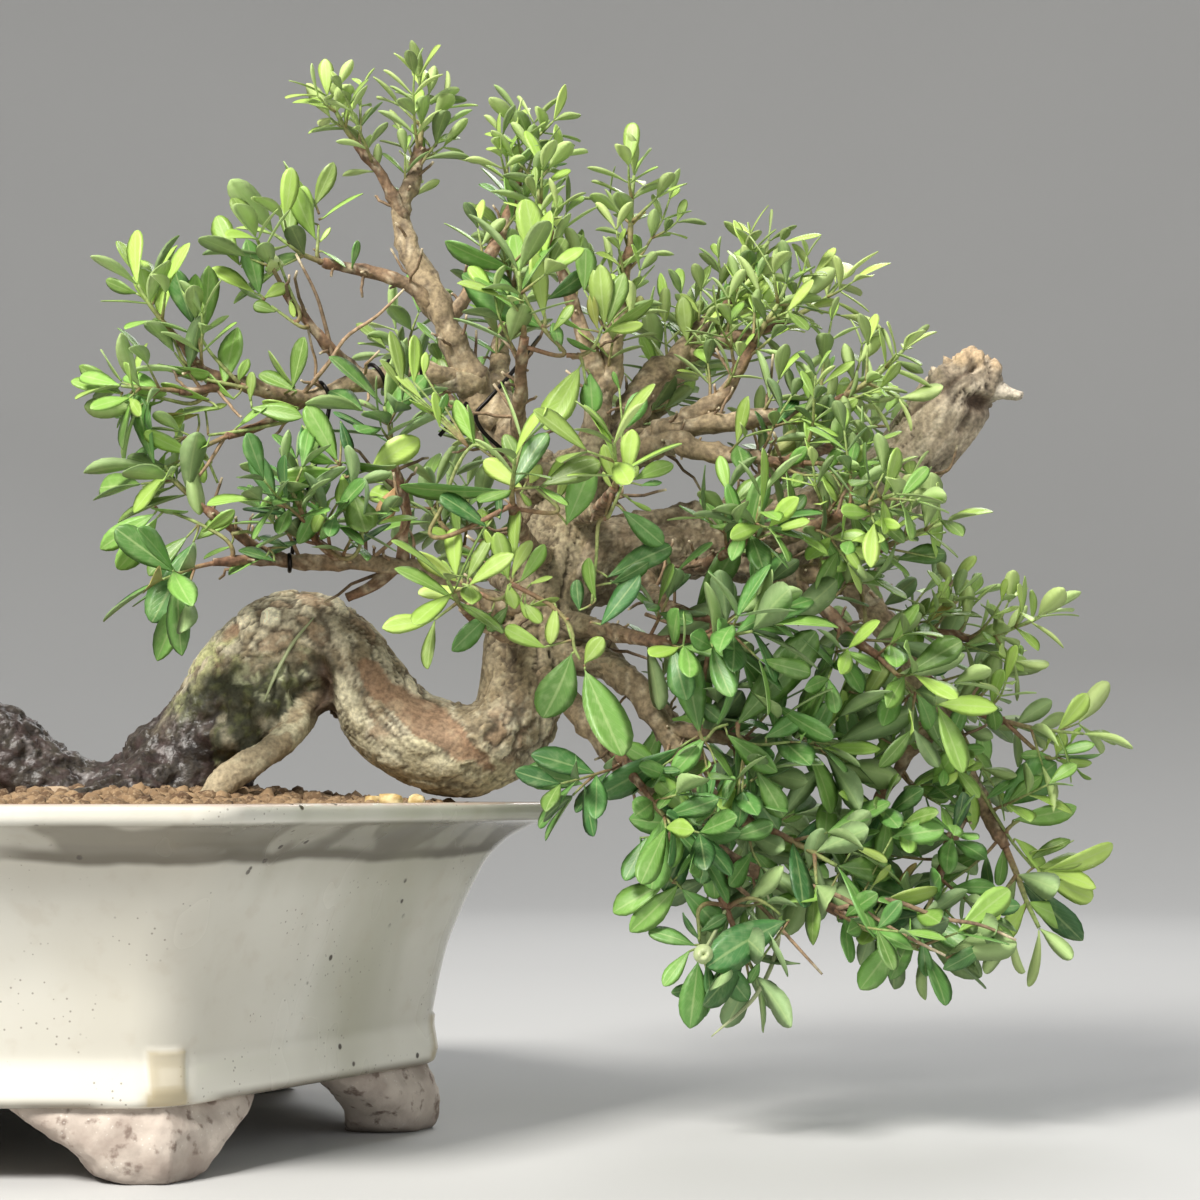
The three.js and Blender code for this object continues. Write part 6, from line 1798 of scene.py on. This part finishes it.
        (279.4, 93, 297, 96.2, 8, 0.15, 0.5), (252, 80, 253.9, 72.3, 20, 0.2),
        (267, 90.4, 278.7, 85.8, 45, 0.75),
    ]),
}


class Shoot:
    """Collects the stems and leaves of one limb."""

    def __init__(self):
        self.stems = []
        self.leaves = []

    def bear(self, start, nodes, girth, young):
        """Adds a grown stem as a path, and its leaves, which are younger towards the tip."""
        path = np.array([start] + [node["at"] for node in nodes])
        self.stems.append((path, girth, young))
        for order, node in enumerate(nodes):
            age = young + 0.22 * (order + 1) / len(nodes) - 0.1
            self.leaves += [(*leaf, age, 0.0) for leaf in node["leaves"]]


def end_shoot(shoot, name, number):
    """The limb's own end: the frame's stem and side shoots, and side shoots on the other hands too."""
    length, leaf_length, lift, young, _, _ = SHOOTS[name]
    _, last, *points = LIMBS[name]
    corners = seen(np.array(points, float))
    end = limb_line(corners, np.array([1.0 - 1e-4, 1.0]))
    heading = unit(end[1] - end[0])
    side = np.array([math.sin(number), math.cos(number), 0.3])
    nodes = grow(end[1] + heading * 0.3, heading, side, length, leaf_length, lift, 3, number + 1)
    shoot.bear(end[1] - heading * 1.5, nodes, last * STEM_GIRTH, young)
    for order, node in enumerate(nodes[:2]):
        hands = (-1, 1) if (number + order) % 2 else (1, -1)
        for k, hand in enumerate(hands[:1] if name in MARKED else hands):
            toward = node["bud_side"] * hand
            bud = unit(node["direction"] * 0.6 + toward * 0.8)
            seed = (number + 1) * 31 + order + 5000 * k
            twig = grow(node["at"], bud, np.cross(node["direction"], toward), length * 0.5,
                        leaf_length * 0.9, lift, 1 + k, seed)
            shoot.bear(node["at"], twig, last * STEM_GIRTH * 0.6, young)


def marked_leaves(shoot, name, number):
    """The leaves and stems of the list above, each joined by a thin stalk to the nearest wood of the limb."""
    random = np.random.default_rng(600 + number)
    depth, stems, leaves = MARKED[name]
    rows = limb_rows(name)
    near = [limb_line(seen(rows[:, :3]), np.linspace(0, 1, 60))]

    def joined(spot_to_join):
        """The nearest point of the wood so far."""
        wood_points = np.concatenate(near)
        return wood_points[np.linalg.norm(wood_points - spot_to_join, axis=1).argmin()]

    for stem in stems:
        corners = seen(np.array([(x, depth, z) for x, z in stem]))
        path = limb_line(np.concatenate([[joined(corners[0])], corners]), np.linspace(0, 1, 5 * len(stem)))
        near.append(path)
        shoot.stems.append((path[::3], SPRAY_GIRTH, 0.35))
    for x0, z0, x1, z1, roll, young, *broad in leaves:
        root = seen((x0, depth, z0))
        length = np.linalg.norm(seen((x1, depth, z1)) - root)
        tip = seen((x1, depth + length * random.uniform(-0.35, 0.15), z1))
        heading = unit(tip - root)
        across = square_to(VIEWER - root, heading)
        turn = math.radians(roll) * random.choice([-1, 1])
        face = across * math.cos(turn) + np.cross(heading, across) * math.sin(turn)
        size = np.linalg.norm(tip - root)
        shoot.leaves.append((root, heading, face, size, young, broad[0] if broad else 0.0))
        foot = joined(root)
        if np.linalg.norm(foot - root) > TOUCHING:
            stalk = np.array([foot, (foot + root) / 2 + 0.3, root + heading * 0.6])
            shoot.stems.append((stalk, STALK_GIRTH, 0.6))


def fill_twigs(shoot, name, number):
    """Twigs along the limb, each turned by the golden angle from the one before, and lifted to the light."""
    length, leaf_length, lift, young, count, start_share = SHOOTS[name]
    random = np.random.default_rng(400 + number)
    rows = limb_rows(name)
    corners = seen(rows[:, :3])
    at = np.linspace(start_share, 0.97, count) + random.uniform(-0.02, 0.02, count)
    spots = limb_line(corners, at)
    tangents = tangents_at(corners, at)
    for k, (spot_on_limb, tangent) in enumerate(zip(spots, tangents)):
        across = square_to(np.array([0.3, 1.0, 0.2]), tangent)
        other = np.cross(tangent, across)
        angle = k * GOLDEN_TURN + number
        radial = across * math.cos(angle) + other * math.sin(angle)
        heading = unit(tangent * 0.55 + radial * 0.75 + UP * (0.3 + 0.5 * lift))
        nodes = int(random.integers(2, 5))
        reach = (NODE_LENGTH + NODE_EXTRA * random.random()) * nodes
        size = leaf_length * random.uniform(0.72, 1.0)
        twig = grow(spot_on_limb, heading, other, reach, size, lift * 0.7 + 0.2, nodes,
                    9000 + number * 40 + k, 0.82, 0.3)
        shoot.bear(spot_on_limb, twig, TWIG_GIRTH, young * random.uniform(0.65, 1.1))
        if random.random() < SIDE_TWIG_SHARE and nodes > 2:
            node = twig[nodes // 2 - 1]
            toward = node["bud_side"] * (1 if k % 2 else -1)
            bud = unit(node["direction"] * 0.7 + toward * 0.7)
            side_twig = grow(node["at"], bud, np.cross(node["direction"], toward), 10.0, size * 0.9, lift,
                             2, 20000 + number * 40 + k)
            shoot.bear(node["at"], side_twig, SIDE_TWIG_GIRTH, young)


def stem_tubes(stems):
    """Tubes along the stems, thinning to the tips, smoothed between nodes."""
    parts, tones = [], []
    for path, girth, young in stems:
        dense = curve_through(path, 4)
        radii = np.linspace(girth, max(girth * 0.55, 0.34), len(dense))
        part = tube(dense, radii, 6)
        share = np.concatenate([np.repeat(np.linspace(0, 1, len(dense)), 6), [0, 1]])
        green = np.array([0.27, 0.36, 0.11])
        brown = np.array([0.25, 0.14, 0.08])
        fresh = np.clip(share * 1.3 - 0.35 + young * 0.7, 0, 1)[:, None]
        parts.append(part)
        tones.append(np.column_stack([brown * (1 - fresh) + green * fresh, np.full(len(share), 0.5)]))
    return gather(parts), np.concatenate(tones)


def make_foliage(name, number):
    """One piece for one limb: stems in the bark finish, and leaves with an upper and an under side."""
    shoot = Shoot()
    end_shoot(shoot, name, number)
    fill_twigs(shoot, name, number)
    if name in MARKED:
        marked_leaves(shoot, name, number)
    (points, quads, triangles), stem_tones = stem_tubes(shoot.stems)
    leaf_points, faces, leaf_tones, uv = blades(shoot.leaves, np.random.default_rng(700 + number))
    top, under, top_ends, under_ends = (part + len(points) for part in faces)
    face_sets = [(quads, 0), (triangles, 0), (top, 1), (top_ends, 1), (under, 2), (under_ends, 2)]
    make_piece(
        f"foliage_{name}", np.concatenate([points, leaf_points]), face_sets, [old_bark, leaf_top, leaf_under],
        (f"leaves_{name}",), np.concatenate([stem_tones, leaf_tones]),
        np.concatenate([np.zeros((len(points), 2)), uv]),
    )
    return len(shoot.leaves)


leaf_count = sum(make_foliage(name, number) for number, name in enumerate(SHOOTS))
print(leaf_count, "leaves")

# %% [markdown]
# Years of pruning leave short bare twigs all over the limbs: dry, crooked, and with a pale cut at the end.
# They are thin tubes with a bend or two. Some longer ones, under the cascade, are listed one by one.

# %% Cut twigs
CUT_SPACING = 6.0
LONG_TWIGS = [
    [(224, -27, 82), (238, -34, 70), (247, -37, 60), (257, -38, 49)],
    [(236, -26, 82), (252, -32, 78), (265, -34, 73), (281, -36, 63), (297, -36, 55)],
    [(262, -24, 70), (278, -28, 73), (296, -31, 67), (308, -33, 65), (320, -34, 60)],
    [(196, -14, 158), (206, -24, 154), (215, -30, 154), (236, -34, 152)],
    [(200, -16, 166), (214, -26, 161), (228, -32, 158)],
    [(292, 6, 212), (300, -4, 214), (303, -6, 222)],
    [(110, -24, 184), (121, -30, 196), (118, -33, 206), (117, -34, 213)],
    [(86, -24, 238), (95, -26, 249), (101, -24, 258), (111, -23, 265), (120, -18, 274)],
    [(97, -24, 250), (94, -26, 262), (91, -28, 272), (84, -28, 286)],
    [(62, -33, 226), (56, -36, 216), (50, -38, 208)],
]


def make_cut_twigs():
    """Tubes from the limbs, out and up, of 5 to 20 mm; the last stretch of each is a pale cut."""
    random = np.random.default_rng(55)
    paths = [seen_line(line, 16) for line in LONG_TWIGS]
    for name in SHOOTS:
        rows = limb_rows(name)
        corners = seen(rows[:, :3])
        length = np.linalg.norm(np.diff(corners, axis=0), axis=1).sum()
        bare_to = SHOOTS[name][5] + 0.3
        count = int(length * min(bare_to, 1.0) / CUT_SPACING)
        at = random.uniform(0.12, min(bare_to, 0.98), count)
        starts = limb_line(corners, at)
        tangents = tangents_at(corners, at)
        radial = unit(np.cross(tangents, random.normal(size=(count, 3))))
        heading = unit(tangents * random.uniform(-0.1, 0.9, (count, 1)) + radial + UP * 0.35)
        reach = random.gamma(2.2, 4.2, count).clip(3.5, 22)
        share = np.linspace(0, 1, 7)[None, :, None]
        bend = np.cumsum(random.normal(0, 0.055, (count, 7, 3)), axis=1) - 0.02 * UP
        path = starts[:, None] + reach[:, None, None] * (heading[:, None] * share + bend * share)
        paths += list(path)
    parts, colours = [], []
    for path in paths:
        span = np.linalg.norm(np.diff(path, axis=0), axis=1).sum()
        radii = np.linspace(0.5 + 0.008 * span, 0.45, len(path))
        radii[-1] *= 0.9
        parts.append(tube(path, radii, 6))
        pale = np.repeat(np.linspace(0, 1, len(path)) > 0.9, 6)
        pale = np.concatenate([pale, [False, True]])[:, None]
        brown = np.array([0.30, 0.205, 0.125]) * random.uniform(0.6, 1.5)
        colours.append(np.where(pale, np.array([0.66, 0.56, 0.38]), brown))
    points, quads, triangles = gather(parts)
    colours = np.concatenate(colours) * (0.85 + 0.3 * rough(points / 3, 2, seed=91)[:, None])
    tones = np.column_stack([np.clip(colours, 0, 1), np.full(len(points), 0.25)])
    make_part("cut_twigs", (points, quads, triangles), old_bark, ("tree",), tones)


make_cut_twigs()

# %% [markdown]
# Small things that the photograph shows: a green fruit among the lowest leaves, a dry leaf that hangs on a
# dry twig, a fallen needle on the trunk, a long dead leaf that hangs under the cascade, and two loose ends
# of wire on the trunk.

# %% Small things
dry_leaf = speckled("dry_leaf", (0.42, 0.20, 0.075), (0.72, 0.50, 0.26), 260.0, 0.3, roughness=0.75)
straw_leaf = speckled("straw", (0.24, 0.31, 0.14), (0.52, 0.55, 0.32), 300.0, 0.1, detail=3.0, roughness=0.6)
green_fruit = speckled(
    "green_fruit", (0.36, 0.46, 0.20), (0.60, 0.66, 0.38), 300.0, 0.1, detail=3.0, roughness=0.35,
)
FRUIT_PLACE = (218.5, -47.0, 55.5)
DRY_LEAF_PLACE = (117.5, -33.5, 208.0)
FRUIT_RADIUS = 3.1
FRUIT_SIDES = 24
FRUIT_RINGS = 16
NEEDLE_LINE = np.array([(91.0, 165.0), (84.0, 156.0), (79.5, 147.0), (76.0, 137.0)])
DEAD_LEAF_LINE = [(238, -29, 78), (243, -36, 62), (236, -38, 43), (221, -38, 29)]
LOOSE_WIRES = [
    [(165, -2, 258), (155, -12, 245), (148, -15, 237), (144, -15, 232), (146, -13, 227), (151, -10, 222),
     (157, -4, 217)],
    [(141, -10, 236), (137, -13, 231), (132, -14, 225)],
]


def ribbon(path, width, thickness, sides=8):
    """A tube flattened to a strip: its rings are ovals that are narrow at both ends."""
    share = np.linspace(0, 1, len(path))
    taper = np.sin(np.pi * np.clip(share * 0.96 + 0.02, 0, 1)) ** 0.5
    angle = np.arange(sides) / sides * 2 * np.pi
    oval = 0.5 * np.hypot(thickness * np.cos(angle), width * np.sin(angle))
    return tube(path, oval[None] * np.maximum(taper, 0.25)[:, None], sides)


def make_fruit():
    """A ball turned from a profile: a crown of four short lobes stands round a pit at its end."""
    place = seen(FRUIT_PLACE)
    around = np.linspace(0, 2 * np.pi, FRUIT_SIDES, endpoint=False)
    down = np.linspace(0.02, np.pi - 0.02, FRUIT_RINGS)[:, None]
    crown = 0.9 * np.exp(-(((down - 0.42) / 0.16) ** 2)) * (0.7 + 0.3 * np.cos(4 * around[None]))
    radius = FRUIT_RADIUS * (1 - 0.45 * np.exp(-((down / 0.24) ** 2))) + crown
    skin = np.stack([
        radius * np.sin(down) * np.cos(around), -radius * np.cos(down) * 1.05 + 0 * around,
        radius * np.sin(down) * np.sin(around),
    ], axis=2).reshape(-1, 3)
    ball = np.concatenate([skin, [[0, -1.7, 0], [0, FRUIT_RADIUS * 1.05, 0]]]) + place
    ball = (ball, grid_faces(FRUIT_RINGS, FRUIT_SIDES), end_fans(FRUIT_RINGS, FRUIT_SIDES))
    stalk = tube(seen_line([(226, -34, 70), (222, -40, 62), (218.6, -45, 56)], 12), np.full(12, 0.6), 6)
    make_part("green_fruit", gather([ball, stalk]), green_fruit, ("leaves_cascade_b",))


def make_small_things():
    """The fruit, the dry leaf, the needle that follows the trunk's skin, the dead leaf and the wire ends."""
    make_fruit()
    random = np.random.default_rng(77)
    root = seen(DRY_LEAF_PLACE)
    leaf = [(root, unit(np.array([-0.35, -0.25, -1.0])), unit(np.array([0.3, -1.0, 0.2])), 13.0, 0.0, 0.5)]
    points, faces, _, _ = blades(leaf, random)
    sets = [(part, 0) for part in faces]
    make_piece("dry_leaf", points, sets, [dry_leaf], ("leaves_arch_rise",))
    at = np.linspace(0, 1, 24)
    flat = limb_line(np.column_stack([NEEDLE_LINE[:, 0], np.zeros(4), NEEDLE_LINE[:, 1]]), at)
    near = seen(flat + [0, -17.0, 0])
    apart = np.hypot(wood[None, :, 0] - near[:, None, 0], wood[None, :, 2] - near[:, None, 2])
    depth = np.where(apart < 1.6, wood[None, :, 1], 50.0).min(axis=1)
    depth = np.convolve(np.pad(depth, 3, mode="edge"), np.ones(7) / 7, mode="valid")
    near[:, 1] = depth - 0.7
    make_part("fallen_needle", ribbon(near, width=1.7, thickness=0.8), straw_leaf, ("tree",))
    hanging = ribbon(seen_line(DEAD_LEAF_LINE, 36), width=1.5, thickness=0.7)
    make_part("dead_leaf", hanging, straw_leaf, ("leaves_cascade_b_out",))
    ends = [tube(seen_line(line, 30), np.full(30, WIRE_RADIUS), WIRE_SIDES) for line in LOOSE_WIRES]
    make_part("wire_ends", gather(ends), black_wire, ("training_wire",))


make_small_things()
